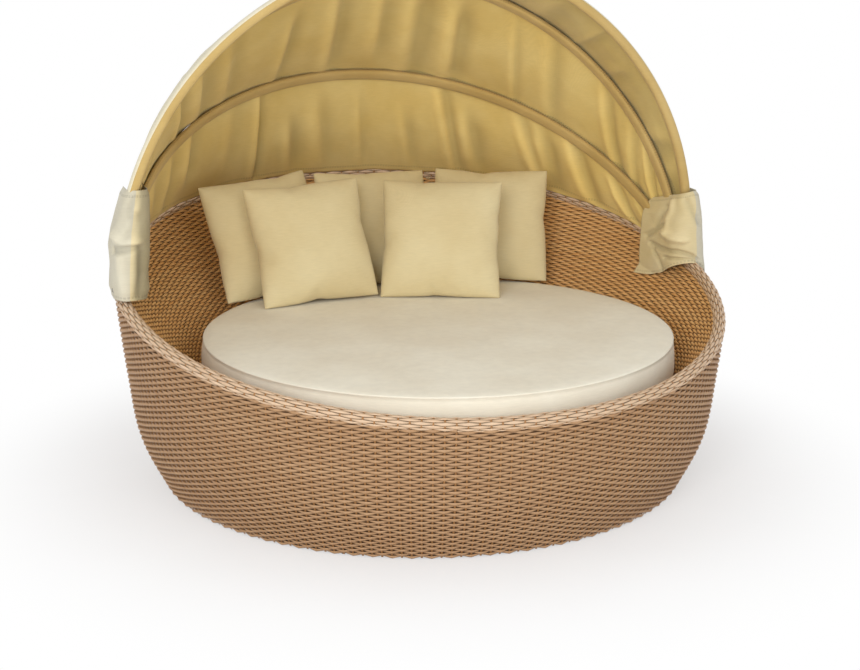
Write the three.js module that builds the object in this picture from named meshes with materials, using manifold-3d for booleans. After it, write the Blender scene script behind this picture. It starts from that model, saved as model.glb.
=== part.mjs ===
import * as THREE from 'three';
import { mergeVertices } from 'three/addons/utils/BufferGeometryUtils.js';
import Module from 'manifold-3d';

const wasm = await Module();
wasm.setup();

// Outdoor daybed: a round woven basket with a low front and a high back, a round mattress,
// five pillows and a folding canopy of three hoops on one pair of pivots.
// Millimetres, +Z up, the open front towards -Y, the origin on the floor under the centre leg.

// Basket wall: its outer radius at the floor, at three heights and at the back of the rim
const base_radius = 781;
const low_wall_radius = 850;
const low_wall_height = 150;
const mid_wall_radius = 876;
const mid_wall_height = 320;
const high_wall_radius = 900;
const high_wall_height = 550;
const top_wall_radius = 919;
const floor_gap = 3;
const weave_thickness = 7;
const rib_gap = 8.9;

// Rim, measured at the middle of its tube
const rim_front_height = 387;
const rim_back_height = 750;
const rim_shape_share = 1.1;
const rim_shoulder_lift = 13.7;
const rim_shoulder_share = 0.75;
const rim_tube_diameter = 22;
const border_diameter = 36;
const border_slit = 20;

// Frame inside the wall
const rib_diameter = 16;
const rib_count = 10;
const base_ring_diameter = 16;
const glide_height = 8;
const glide_diameter = 10;
const clearance = 0.3;
const weld_gap = 0.8;

// Deck under the mattress
const deck_ring_height = 20;
const deck_ring_width = 20;
const deck_height = 290;
const beam_width = 25;
const beam_place_shares = [-0.5, 0, 0.5];
const slat_thickness = 12;
const slat_width = 120;
const slat_count = 6;
const deck_weave_thickness = 5;
const leg_diameter = 30;

// Mattress and pillows
const mattress_thickness = 140;
const mattress_forward = 130;
const mattress_front_gap = 27.2;
const seat_gap = 10;
const mattress_edge = 28;
const mattress_drawn_in = 9;
const pillow_size = 386;
const pillow_thickness = 132;
const pillow_seam = 4;
const pillow_drawn_in_share = 0.055;
const pillow_lean = THREE.MathUtils.degToRad(22);
const pillow_gap = 8;
const front_row_back = 408;
const front_row_side = 43;

// Canopy hoops, half circles about one pivot axis
const pivot_rise = 40.6;
const hoop_inset = 15.3;
const hoop_pitch = 22;
const hoop_tube_diameter = 18;
const boss_diameter = 26;
const front_tilt = THREE.MathUtils.degToRad(-4.9);
const mid_tilt = THREE.MathUtils.degToRad(18.5);
const rear_tilt = THREE.MathUtils.degToRad(53.1);

// Pivot hardware
const bolt_diameter = 10;
const bolt_head_width = 17;
const bolt_head_height = 6.4;
const bolt_end = 3;
const nut_height = 8;
const washer_diameter = 20;
const boss_gap = 2;
const bracket_plate = 4;
const bracket_length = 30;
const bracket_lift = 5;
const stub_diameter = 18;

// Canopy cloth
const cloth_thickness = 3;
const cloth_gap = 1.25;
const fold_depth = 9;
const fold_count = 9;
const panel_start = THREE.MathUtils.degToRad(10);
const hem_inset = 32;
const hem_lift = 25;
const hem_start = THREE.MathUtils.degToRad(7);
const tie_width = 20;
const tie_thickness = 2;
const tie_gap = 0.9;
const tie_places = [-0.13, 0.09, 0.38];

// Corner flaps over the pivots
const flap_reach = 60;
const flap_front_lift = 16;
const right_flap_rise = 180;
const right_flap_drop = 130;
const right_flap_outer_drop = 85;
const left_flap_rise = 280;
const left_flap_drop = 100;
const left_flap_outer_drop = 42;

const ring_steps = 50;
const round_sides = 8;
const mattress_steps = 36;
const hoop_steps = 28;

const weave_outside = { color: 0xb98a63, roughness: 0.75, metalness: 0 };
const weave_inside = { color: 0xb08550, roughness: 0.75, metalness: 0 };
const border_look = { color: 0xcba88c, roughness: 0.75, metalness: 0 };
const frame_metal = { color: 0x6b5a48, roughness: 0.5, metalness: 0.6 };
const steel = { color: 0xb8b8b4, roughness: 0.35, metalness: 0.9 };
const timber = { color: 0xa9875d, roughness: 0.7, metalness: 0 };
const rubber = { color: 0x2c2a28, roughness: 0.9, metalness: 0 };
const mattress_cloth = { color: 0xded4bd, roughness: 0.95, metalness: 0 };
const pillow_cloth = { color: 0xe0c795, roughness: 0.95, metalness: 0 };
const canopy_cloth = { color: 0xcdb77c, roughness: 0.9, metalness: 0 };

const daybed = new THREE.Group();

function addPart(name, geometry, look, parent = daybed) {
  const mesh = new THREE.Mesh(geometry, new THREE.MeshStandardMaterial(look));
  mesh.name = name;
  parent.add(mesh);
  return mesh;
}

// Closed meshes from points and triangles, turned so that their faces point out
function closedGeometry(points, triangles) {
  let volume = 0;
  for (const [a, b, c] of triangles) {
    volume += points[a].dot(new THREE.Vector3().crossVectors(points[b], points[c]));
  }
  const order = volume < 0 ? triangles.map(([a, b, c]) => [a, c, b]) : triangles;
  const geometry = new THREE.BufferGeometry().setFromPoints(points);
  geometry.setIndex(order.flat());
  return geometry;
}

// A ring whose section, a closed list of [radius, height], may change on the way round
function ringGeometry(sectionAt, steps = ring_steps) {
  const points = [];
  const triangles = [];
  const size = sectionAt(0).length;
  for (let i = 0; i < steps; i += 1) {
    const turn = (i / steps) * 2 * Math.PI;
    for (const [radius, height] of sectionAt(turn)) points.push(around(turn, radius, height));
    const next = (i + 1) % steps;
    for (let j = 0; j < size; j += 1) {
      const k = (j + 1) % size;
      triangles.push([i * size + j, next * size + j, next * size + k]);
      triangles.push([i * size + j, next * size + k, i * size + k]);
    }
  }
  return closedGeometry(points, triangles);
}

// A sheet between two surfaces over shares u and v, closed along its four edges
function sheetGeometry(surface, thickness, uSteps, vSteps) {
  const points = [];
  const triangles = [];
  const row = vSteps + 1;
  const layer = (uSteps + 1) * row;
  for (const side of [-0.5, 0.5]) {
    for (let i = 0; i <= uSteps; i += 1) {
      for (let j = 0; j <= vSteps; j += 1) {
        points.push(surface(i / uSteps, j / vSteps, side * thickness));
      }
    }
  }
  const quad = (a, b, c, d) => triangles.push([a, b, c], [a, c, d]);
  for (let i = 0; i < uSteps; i += 1) {
    for (let j = 0; j < vSteps; j += 1) {
      const a = i * row + j;
      quad(a, a + row, a + row + 1, a + 1);
      quad(layer + a, layer + a + 1, layer + a + row + 1, layer + a + row);
    }
  }
  for (let i = 0; i < uSteps; i += 1) {
    const a = i * row;
    quad(a, layer + a, layer + a + row, a + row);
    quad(a + vSteps, a + row + vSteps, layer + a + row + vSteps, layer + a + vSteps);
  }
  for (let j = 0; j < vSteps; j += 1) {
    const a = uSteps * row + j;
    quad(j, j + 1, layer + j + 1, layer + j);
    quad(a, layer + a, layer + a + 1, a + 1);
  }
  return closedGeometry(points, triangles);
}

function toSolid(geometry) {
  const bare = geometry.clone();
  bare.deleteAttribute('normal');
  bare.deleteAttribute('uv');
  const merged = mergeVertices(bare, 1e-3);
  const vertProperties = new Float32Array(merged.attributes.position.array);
  const triVerts = new Uint32Array(merged.index.array);
  return new wasm.Manifold(new wasm.Mesh({ numProp: 3, vertProperties, triVerts }));
}

function toGeometry(solid) {
  const mesh = solid.getMesh();
  const geometry = new THREE.BufferGeometry();
  geometry.setAttribute('position', new THREE.BufferAttribute(mesh.vertProperties, 3));
  geometry.setIndex(new THREE.BufferAttribute(mesh.triVerts, 1));
  return geometry;
}

function join(...geometries) {
  return toGeometry(geometries.map(toSolid).reduce((whole, piece) => whole.add(piece)));
}

function cut(geometry, ...tools) {
  return toGeometry(tools.map(toSolid).reduce((whole, tool) => whole.subtract(tool), toSolid(geometry)));
}

function intersect(geometry, tool) {
  return toGeometry(toSolid(geometry).intersect(toSolid(tool)));
}

// The same shape on the other side of the YZ plane
function mirrored(geometry) {
  const place = geometry.attributes.position;
  const points = [];
  for (let i = 0; i < place.count; i += 1) {
    points.push(new THREE.Vector3(-place.getX(i), place.getY(i), place.getZ(i)));
  }
  const index = Array.from(geometry.index.array);
  const triangles = [];
  for (let i = 0; i < index.length; i += 3) triangles.push(index.slice(i, i + 3));
  return closedGeometry(points, triangles);
}

// A point at a turn round the basket, which starts at the front
function around(turn, radius, height) {
  return new THREE.Vector3(radius * Math.sin(turn), -radius * Math.cos(turn), height);
}

const wall_curve = new THREE.CubicInterpolant(
  [0, low_wall_height, mid_wall_height, high_wall_height, rim_back_height],
  [base_radius, low_wall_radius, mid_wall_radius, high_wall_radius, top_wall_radius],
  1,
);
const wall_half = rib_gap + weave_thickness;

// The middle of the wall's thickness, where the ribs and rings run
function wallMiddle(height) {
  return wall_curve.evaluate(height)[0] - wall_half;
}

// Radius and height of a point that stands off the middle of the wall, square to it
function wallPoint(height, offset) {
  const slope = (wallMiddle(height + clearance) - wallMiddle(height - clearance)) / (2 * clearance);
  const length = Math.hypot(1, slope);
  return [wallMiddle(height) + offset / length, height - (offset * slope) / length];
}

// The height on the middle of the wall whose point at this offset lies at the height given
function levelFor(height, offset) {
  return 2 * height - wallPoint(height, offset)[1];
}

// The rim climbs from front to back, with a low shoulder at each side of the back
function rimHeight(turn) {
  const share = (1 - Math.cos(turn)) / 2;
  const shoulder = (share / rim_shoulder_share) ** 3 * ((1 - share) / (1 - rim_shoulder_share));
  const climb = (rim_back_height - rim_front_height) * share ** rim_shape_share;
  return rim_front_height + climb + rim_shoulder_lift * shoulder;
}

function circleSection(radius, height, tube_radius, sides = round_sides) {
  return Array.from({ length: sides }, (_, i) => {
    const angle = (i / sides) * 2 * Math.PI;
    return [radius + tube_radius * Math.cos(angle), height + tube_radius * Math.sin(angle)];
  });
}

function rod(radius, length, sides = 2 * round_sides) {
  return new THREE.CylinderGeometry(radius, radius, length, sides);
}

// A rod along X from one place to another
function rodAlongX(radius, from, to, sides = 2 * round_sides) {
  return rod(radius, to - from, sides).rotateZ(-Math.PI / 2).translate((from + to) / 2, 0, 0);
}

function rodUpright(radius, from, to, sides = 2 * round_sides) {
  return rod(radius, to - from, sides).rotateX(Math.PI / 2).translate(0, 0, (from + to) / 2);
}

function roundShape(radius) {
  return new THREE.Shape().absarc(0, 0, radius, 0, 2 * Math.PI);
}

class FormulaCurve extends THREE.Curve {
  constructor(pointAt) {
    super();
    this.pointAt = pointAt;
  }

  getPoint(t) {
    return this.pointAt(t);
  }

  // Steps fall where the formula puts them, not at even lengths
  getUtoTmapping(u) {
    return u;
  }
}

function tubeAlong(pointAt, diameter, steps) {
  return new THREE.ExtrudeGeometry(roundShape(diameter / 2), {
    steps,
    curveSegments: round_sides / 2,
    extrudePath: new FormulaCurve(pointAt),
  });
}

// Woven skins: the outer one follows the basket's profile up to the rim's border
const wall_level_shares = [0.33, 0.66, 1, 1.4];
const skin_top_drop = Math.sqrt((border_diameter / 2) ** 2 - (border_slit / 2) ** 2) + clearance;
const base_ring_height = glide_height + clearance + base_ring_diameter / 2;

// Heights at which the skins and the ribs bend, so that they keep their distance
function wallLevels(bottom, top) {
  const shared = wall_level_shares.map((share) => low_wall_height * share);
  const fixed = [base_ring_height, ...shared, deck_height];
  const middle = (deck_height + rim_front_height) / 2;
  return [...fixed, middle, (middle + top) / 2].filter((height) => height > bottom && height < top);
}

function skinSection(turn, bottom, offset) {
  const top = rimHeight(turn) - skin_top_drop;
  const levels = wallLevels(bottom + 2 * weave_thickness, rimHeight(turn));
  const side = (radial) => [
    wallPoint(levelFor(bottom, radial), radial),
    ...levels.map((height) => wallPoint(height, radial)),
    wallPoint(levelFor(top, radial), radial),
  ];
  return [...side(offset), ...side(offset + weave_thickness).reverse()];
}

const slat_top = deck_height + clearance + slat_thickness;
const deck_top = slat_top + clearance + deck_weave_thickness;

addPart('outer_weave', ringGeometry((turn) => skinSection(turn, floor_gap, rib_gap)), weave_outside);

// The inner skin slopes from the mattress's outline, on the deck, straight up to the border
const inner_radius = wallPoint(deck_top, -wall_half)[0];
const mattress_radius = inner_radius - mattress_front_gap - mattress_forward;
const slope_bottom = deck_top + clearance;

function slopeEnds(turn) {
  const top = rimHeight(turn) - skin_top_drop;
  const sideways = mattress_forward * Math.sin(turn);
  const foot = mattress_forward * Math.cos(turn) + Math.sqrt((mattress_radius + seat_gap) ** 2 - sideways ** 2);
  const reach = wallMiddle(top) - rib_gap - foot;
  const width = weave_thickness * Math.hypot(1, reach / (top - slope_bottom));
  return { foot, head: wallMiddle(top) - rib_gap - width, top, width };
}

function slopeSection(turn) {
  const { foot, head, top, width } = slopeEnds(turn);
  return [[foot, slope_bottom], [head, top], [head + width, top], [foot + width, slope_bottom]];
}

function slopeRadius(turn, height) {
  const { foot, head, top } = slopeEnds(turn);
  return foot + ((head - foot) * (height - slope_bottom)) / (top - slope_bottom);
}

addPart('inner_weave', ringGeometry(slopeSection), weave_inside);

// Rim: a steel tube with the woven border wrapped round it, open below for the ribs
function rimTubeSection(turn, extra = 0) {
  const height = rimHeight(turn);
  return circleSection(wallMiddle(height), height, rim_tube_diameter / 2 + extra);
}

function borderSection(turn) {
  const outer = border_diameter / 2;
  const inner = rim_tube_diameter / 2 + clearance;
  const slit = border_slit / 2;
  const start = Math.acos(slit / outer);
  const sides = 6;
  const points = [];
  for (let i = 0; i <= sides; i += 1) {
    const angle = -start + ((Math.PI + 2 * start) * i) / sides;
    points.push([outer * Math.cos(angle), outer * Math.sin(angle)]);
  }
  const foot = -inner / 4;
  points.push([-slit, foot]);
  for (let i = round_sides / 2; i >= 0; i -= 1) {
    const angle = (2 * Math.PI * i) / round_sides;
    points.push([inner * Math.cos(angle), inner * Math.sin(angle)]);
  }
  points.push([slit, foot]);
  const height = rimHeight(turn);
  return points.map(([x, z]) => [wallMiddle(height) + x, height + z]);
}

const pivot_turn = Math.PI / 2;
const pivot_rim_height = rimHeight(pivot_turn);
const stub_place = wallMiddle(pivot_rim_height);
const stub_clearance = rodUpright(
  stub_diameter / 2 + clearance,
  pivot_rim_height,
  pivot_rim_height + border_diameter,
);
addPart('rim_tube', ringGeometry((turn) => rimTubeSection(turn)), frame_metal);
addPart(
  'rim_border',
  cut(
    ringGeometry(borderSection),
    stub_clearance.clone().translate(stub_place, 0, 0),
    stub_clearance.clone().translate(-stub_place, 0, 0),
  ),
  border_look,
);

// Base ring on glides, with a leg under the middle of the deck

function baseRingSection(extra = 0) {
  return circleSection(wallMiddle(base_ring_height), base_ring_height, base_ring_diameter / 2 + extra);
}

addPart('base_ring', ringGeometry(() => baseRingSection()), frame_metal);
for (let i = 0; i < rib_count / 2; i += 1) {
  const glide = addPart(`base_glide_${i + 1}`, rodUpright(glide_diameter / 2, 0, glide_height), rubber);
  glide.position.copy(around((2 * Math.PI * (i + 0.5)) / (rib_count / 2), wallMiddle(glide_height), 0));
}

// Ribs from the base ring to the rim tube, each end cut to the tube that it is welded to
const rim_cutter = ringGeometry((turn) => rimTubeSection(turn, clearance));
const base_cutter = ringGeometry(() => baseRingSection(clearance));

function ribGeometry(turn) {
  const top = rimHeight(turn);
  const start = base_ring_height + base_ring_diameter / 4;
  const levels = [start, ...wallLevels(start, top), top - skin_top_drop, top];
  const points = levels.map((height) => around(turn, wallMiddle(height), height));
  const path = (t) => {
    const place = t * (points.length - 1);
    const i = Math.min(Math.floor(place), points.length - 2);
    return points[i].clone().lerp(points[i + 1], place - i);
  };
  return cut(tubeAlong(path, rib_diameter, points.length - 1), rim_cutter, base_cutter);
}

for (let i = 0; i < rib_count; i += 1) {
  addPart(`wall_rib_${i + 1}`, ribGeometry((2 * Math.PI * i) / rib_count), frame_metal);
}

// Deck: a ring welded to the ribs, beams inside it, slats across them and a woven floor on top
const deck_bottom = deck_height - deck_ring_height;
const rib_side = -rib_diameter / 2 - weld_gap;
const deck_radius = Math.min(wallPoint(deck_bottom, rib_side)[0], wallPoint(deck_height, rib_side)[0]);

function deckRingSection() {
  const inner = deck_radius - deck_ring_width;
  return [[inner, deck_bottom], [deck_radius, deck_bottom], [deck_radius, deck_height], [inner, deck_height]];
}

addPart('deck_ring', ringGeometry(deckRingSection), frame_metal);

const beam_limit = rodUpright(deck_radius - deck_ring_width - clearance, 0, 2 * deck_height, ring_steps);
beam_place_shares.forEach((share, i) => {
  const box = new THREE.BoxGeometry(2 * deck_radius, beam_width, deck_ring_height);
  box.translate(0, share * deck_radius, (deck_bottom + deck_height) / 2);
  addPart(`deck_beam_${i + 1}`, intersect(box, beam_limit), frame_metal);
});

const slat_limit = rodUpright(deck_radius, 0, 2 * deck_height, ring_steps);
for (let i = 0; i < slat_count; i += 1) {
  const pitch = (2 * deck_radius) / slat_count;
  const box = new THREE.BoxGeometry(slat_width, 2 * deck_radius, slat_thickness);
  box.translate((i - (slat_count - 1) / 2) * pitch, 0, slat_top - slat_thickness / 2);
  addPart(`deck_slat_${i + 1}`, intersect(box, slat_limit), timber);
}

const deck_weave_radius = wallPoint(deck_top, weave_thickness / 2 - wall_half)[0];
addPart(
  'deck_weave',
  rodUpright(deck_weave_radius, slat_top + clearance, deck_top, ring_steps),
  weave_inside,
);

addPart(
  'centre_leg',
  rodUpright(leg_diameter / 2, glide_height + clearance, deck_bottom - clearance),
  frame_metal,
);
addPart('centre_glide', rodUpright(leg_diameter / 2, 0, glide_height), rubber);

// Mattress: flat where it is used, rolled at its edges, its side drawn in at the seams
const mattress_bottom = deck_top + clearance;
const mattress_top = mattress_bottom + mattress_thickness;

function mattressGeometry() {
  const level_shares = [0.25, 0.5, 0.75];
  const seam = mattress_radius - mattress_drawn_in;
  const side = level_shares.map((share) => {
    const swell = Math.sin(Math.PI * share);
    const height = mattress_edge / 2 + (mattress_thickness - mattress_edge) * share;
    return new THREE.Vector2(seam + mattress_drawn_in * swell, height);
  });
  const profile = [
    new THREE.Vector2(0, 0),
    new THREE.Vector2(mattress_radius - 2 * mattress_edge, 0),
    new THREE.Vector2(seam, mattress_edge / 2),
    ...side,
    new THREE.Vector2(seam, mattress_thickness - mattress_edge / 2),
    new THREE.Vector2(mattress_radius - mattress_edge, mattress_thickness - mattress_edge / 8),
    new THREE.Vector2(mattress_radius - 2 * mattress_edge, mattress_thickness),
    new THREE.Vector2(0, mattress_thickness),
  ];
  return new THREE.LatheGeometry(profile, mattress_steps).rotateX(Math.PI / 2);
}

addPart('mattress', mattressGeometry(), mattress_cloth).position.set(0, -mattress_forward, mattress_bottom);

// Pillows: crowned in the middle, thin at the seam, with their sides drawn in between the corners
function pillowGeometry() {
  const half = pillow_size / 2;
  const crown = (pillow_thickness - pillow_seam) / 2;
  const surface = (u, v, side) => {
    const a = 2 * u - 1;
    const b = 2 * v - 1;
    const swell = Math.sqrt((1 - a * a) * (1 - b * b));
    const x = half * a * (1 - pillow_drawn_in_share * (1 - b * b));
    const z = half * b * (1 - pillow_drawn_in_share * (1 - a * a));
    return new THREE.Vector3(x, Math.sign(side) * (pillow_seam / 2 + crown * swell), z);
  };
  return sheetGeometry(surface, 1, 10, 10);
}

// A pillow stands with one bottom corner at a place and leans back; reach is -1, 0 or 1
// for a pillow that runs to the left of that place, is centred on it or runs to its right
function addPillow(name, x, y, yaw, reach) {
  const geometry = pillowGeometry().rotateX(-pillow_lean);
  geometry.computeBoundingBox();
  const half = pillow_size / 2;
  geometry.translate(reach * half, 0, mattress_top + clearance - geometry.boundingBox.min.z);
  geometry.translate(0, half * Math.sin(pillow_lean), 0);
  const mesh = addPart(name, geometry, pillow_cloth);
  mesh.rotation.z = yaw;
  mesh.position.set(x, y, 0);
}

const row_y = front_row_back - mattress_forward;
const back_row_y = row_y + (pillow_thickness + pillow_gap) / Math.cos(pillow_lean) + pillow_gap;
const back_centre_x = front_row_side / 2;
const back_half = pillow_size / 2 + pillow_gap;
const front_left_yaw = THREE.MathUtils.degToRad(3.6);
const front_right_yaw = THREE.MathUtils.degToRad(-22.7);
const back_left_yaw = THREE.MathUtils.degToRad(12);
const back_right_yaw = THREE.MathUtils.degToRad(-20);
addPillow('pillow_front_left', -front_row_side - pillow_gap / 2, row_y, front_left_yaw, -1);
addPillow('pillow_front_right', -front_row_side + pillow_gap / 2, row_y, front_right_yaw, 1);
addPillow('pillow_back_centre', back_centre_x, back_row_y, 0, 0);
addPillow('pillow_back_left', back_centre_x - back_half, back_row_y, back_left_yaw, -1);
addPillow('pillow_back_right', back_centre_x + back_half, back_row_y, back_right_yaw, 1);

// Canopy hoops: tubes with a bored boss at each end, turning on one bolt a side
const pivot_height = pivot_rim_height + pivot_rise;
const hoop_radius = stub_place - hoop_inset;
const boss_length = hoop_pitch - boss_gap;
const bore_radius = bolt_diameter / 2 + clearance;
const hoops = [
  { name: 'rear_bow', radius: hoop_radius - hoop_pitch, tilt: rear_tilt },
  { name: 'mid_bow', radius: hoop_radius, tilt: mid_tilt },
  { name: 'front_bow', radius: hoop_radius + hoop_pitch, tilt: front_tilt },
];

function hoopGeometry(radius) {
  const path = (t) => new THREE.Vector3(
    radius * Math.cos(Math.PI * t),
    0,
    radius * Math.sin(Math.PI * t),
  );
  const boss = rodAlongX(boss_diameter / 2, radius - boss_length / 2, radius + boss_length / 2);
  const whole = join(tubeAlong(path, hoop_tube_diameter, hoop_steps), boss, mirrored(boss));
  return cut(whole, rodAlongX(bore_radius, -2 * radius, 2 * radius));
}

for (const { name, radius, tilt } of hoops) {
  const mesh = addPart(name, hoopGeometry(radius), frame_metal);
  mesh.position.z = pivot_height;
  mesh.rotation.x = -tilt;
}

// Pivot brackets: a channel over the rim, on a stub that is welded to the rim tube
const stack_inner = hoop_radius - hoop_pitch - boss_length / 2 - clearance;
const stack_outer = hoop_radius + hoop_pitch + boss_length / 2 + clearance;
const channel_inner = stack_inner - bracket_plate;
const channel_outer = stack_outer + bracket_plate;
const plate_bottom = pivot_rim_height + border_diameter / 2 + bracket_lift;
const cheek_top = pivot_height + boss_diameter / 2;

function channelShape() {
  const shape = new THREE.Shape();
  shape.moveTo(channel_inner, plate_bottom);
  shape.lineTo(channel_outer, plate_bottom);
  shape.lineTo(channel_outer, cheek_top);
  shape.lineTo(stack_outer, cheek_top);
  shape.lineTo(stack_outer, plate_bottom + bracket_plate);
  shape.lineTo(stack_inner, plate_bottom + bracket_plate);
  shape.lineTo(stack_inner, cheek_top);
  shape.lineTo(channel_inner, cheek_top);
  shape.closePath();
  return shape;
}

function bracketGeometry() {
  const channel = new THREE.ExtrudeGeometry(channelShape(), { depth: bracket_length, bevelEnabled: false });
  channel.rotateX(Math.PI / 2).translate(0, bracket_length / 2, 0);
  const stub = rodUpright(stub_diameter / 2, pivot_rim_height, plate_bottom + bracket_plate / 2);
  stub.translate(stub_place, 0, 0);
  const bore = rodAlongX(bore_radius, 0, 2 * channel_outer).translate(0, 0, pivot_height);
  return cut(join(channel, stub), bore, rim_cutter);
}

// Pivot bolts: a round shank, a six-sided head inside and a lock nut outside
const head_face = channel_inner - clearance;
const nut_face = channel_outer + clearance;
const nut_end = nut_face + nut_height;

function boltGeometry() {
  const hex_radius = bolt_head_width / Math.sqrt(3);
  const head = rodAlongX(hex_radius, head_face - bolt_head_height, head_face, 6);
  const shank = rodAlongX(bolt_diameter / 2, head_face - bolt_head_height / 2, nut_end + bolt_end);
  return join(head, shank);
}

function nutGeometry() {
  const nut = rodAlongX(bolt_head_width / Math.sqrt(3), nut_face, nut_end, 6);
  return cut(nut, rodAlongX(bore_radius, 0, 2 * nut_end));
}

function washerGeometry(place) {
  const half = (boss_gap - 2 * clearance) / 2;
  const ring = rodAlongX(washer_diameter / 2, place - half, place + half);
  return cut(ring, rodAlongX(bore_radius, 0, 2 * place));
}

for (const [side, turnSide] of [['right', (shape) => shape], ['left', mirrored]]) {
  addPart(`${side}_pivot_bracket`, turnSide(bracketGeometry()), steel);
  const axle = new THREE.Group();
  axle.position.z = pivot_height;
  daybed.add(axle);
  addPart(`${side}_pivot_bolt`, turnSide(boltGeometry()), steel, axle);
  addPart(`${side}_lock_nut`, turnSide(nutGeometry()), steel, axle);
  const places = [hoop_radius - hoop_pitch / 2, hoop_radius + hoop_pitch / 2];
  places.forEach((place, i) => {
    addPart(`${side}_pivot_washer_${i + 1}`, turnSide(washerGeometry(place)), steel, axle);
  });
}

// Canopy cloth: each panel runs straight between two hoops, with shallow folds down it
function hoopPoint(radius, tilt, angle, outward) {
  const reach = radius + outward;
  return new THREE.Vector3(
    reach * Math.cos(angle),
    reach * Math.sin(angle) * Math.sin(tilt),
    pivot_height + reach * Math.sin(angle) * Math.cos(tilt),
  );
}

// Where the rear panel's hem runs, inside the rim and just above it
function hemPoint(angle, outward) {
  const turn = pivot_turn + angle;
  const height = rimHeight(turn);
  return around(turn, wallMiddle(height) - hem_inset + outward, height + hem_lift);
}

function panelGeometry(fromEdge, toEdge) {
  const surface = (u, v, side) => {
    const wave = 0.5 - 0.5 * Math.cos(2 * Math.PI * fold_count * u);
    const fold = fold_depth * wave * Math.sin(Math.PI * v);
    return fromEdge(u, side + fold).lerp(toEdge(u, side + fold), v);
  };
  return sheetGeometry(surface, cloth_thickness, 4 * fold_count, 4);
}

function hoopEdge(hoop, next_tilt) {
  const half_span = Math.abs(next_tilt - hoop.tilt) / 2;
  const lift = (hoop_tube_diameter / 2 + cloth_gap) / Math.cos(half_span) + cloth_thickness / 2;
  const shift = (Math.sign(next_tilt - hoop.tilt) * clearance) / hoop.radius;
  return (u, outward) => {
    const angle = panel_start + (Math.PI - 2 * panel_start) * u;
    return hoopPoint(hoop.radius, hoop.tilt + shift, angle, lift + outward);
  };
}

function hemEdge(u, outward) {
  return hemPoint(hem_start + (Math.PI - 2 * hem_start) * u, outward);
}

const [rear_hoop, mid_hoop, front_hoop] = hoops;
const hem_tilt = 2 * rear_tilt - mid_tilt;
addPart(
  'front_canopy_panel',
  panelGeometry(hoopEdge(front_hoop, mid_tilt), hoopEdge(mid_hoop, front_tilt)),
  canopy_cloth,
);
addPart(
  'mid_canopy_panel',
  panelGeometry(hoopEdge(mid_hoop, rear_tilt), hoopEdge(rear_hoop, mid_tilt)),
  canopy_cloth,
);
addPart('rear_canopy_panel', panelGeometry(hoopEdge(rear_hoop, hem_tilt), hemEdge), canopy_cloth);

// Ties: short straps from the rear hem over the rim's border
function tieShape() {
  const inner = border_diameter / 2 + tie_gap;
  const outer = inner + tie_thickness;
  const from = THREE.MathUtils.degToRad(-20);
  const to = THREE.MathUtils.degToRad(112);
  const hem_x = -hem_inset + tie_thickness;
  const hem_z = hem_lift - cloth_thickness;
  const shape = new THREE.Shape();
  shape.absarc(0, 0, outer, from, to, false);
  shape.lineTo(hem_x, hem_z);
  shape.lineTo(hem_x - tie_thickness, hem_z - tie_thickness);
  shape.absarc(0, 0, inner, to, from, true);
  shape.closePath();
  return shape;
}

tie_places.forEach((place, i) => {
  const geometry = new THREE.ExtrudeGeometry(tieShape(), {
    depth: tie_width,
    bevelEnabled: false,
    curveSegments: round_sides,
  });
  geometry.translate(0, 0, -tie_width / 2).rotateX(Math.PI / 2);
  const turn = Math.PI - place;
  const height = rimHeight(turn);
  const mesh = addPart(`hem_tie_${i + 1}`, geometry, canopy_cloth);
  mesh.position.copy(around(turn, wallMiddle(height), height));
  mesh.rotation.z = turn - Math.PI / 2;
});

// Corner flaps: cloth that wraps the hoop ends from the inside, round the front, to the outside.
// Rows go down from the top hem: height, inner and outer bulge, front and back edge as shares.
const right_flap_row_shares = [
  { height: 1, inner: 0.25, outer: -0.1, front: 0.75, back: 1.6 },
  { height: 0.6, inner: 0.25, outer: 0.25, front: 1.2, back: 2.3 },
  { height: 0.2, inner: 0.25, outer: 0.45, front: 1.3, back: 2.3 },
  { height: -0.1, inner: 0.25, outer: 0.45, front: 1.3, back: 2.3 },
  { height: -0.6, inner: 0.25, outer: 0.3, front: 1.5, back: 2.3 },
];
const left_flap_row_shares = [
  { height: 1, inner: 0.5, outer: -0.3, front: 0.7, back: 1.5 },
  { height: 0.6, inner: 0.35, outer: 0.3, front: 1, back: 1.8 },
  { height: 0.15, inner: 0.25, outer: 0.45, front: 1.1, back: 2.2 },
  { height: -0.05, inner: 0.25, outer: 0.45, front: 1.05, back: 2.2 },
  { height: -0.35, inner: 0.25, outer: 0.3, front: 1, back: 2.3 },
];
const flap_corner_share = 0.35;
const flap_front_power = 4;

function flapRow(rows, height_share) {
  const next = rows.findIndex((row) => row.height <= height_share);
  const i = next < 1 ? (next < 0 ? rows.length - 1 : 1) : next;
  const [upper, lower] = [rows[i - 1], rows[i]];
  const t = (height_share - upper.height) / (lower.height - upper.height);
  const mix = (key) => upper[key] + (lower[key] - upper[key]) * Math.min(Math.max(t, 0), 1);
  return { inner: mix('inner'), outer: mix('outer'), front: mix('front'), back: mix('back') };
}

function flapBottom(side, u) {
  const front = Math.sin(Math.PI * u) ** flap_front_power;
  const drop = u < 0.5 ? side.drop : side.outer_drop;
  return pivot_rim_height + flap_front_lift * front + (flap_reach - drop) * (1 - front);
}

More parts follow.
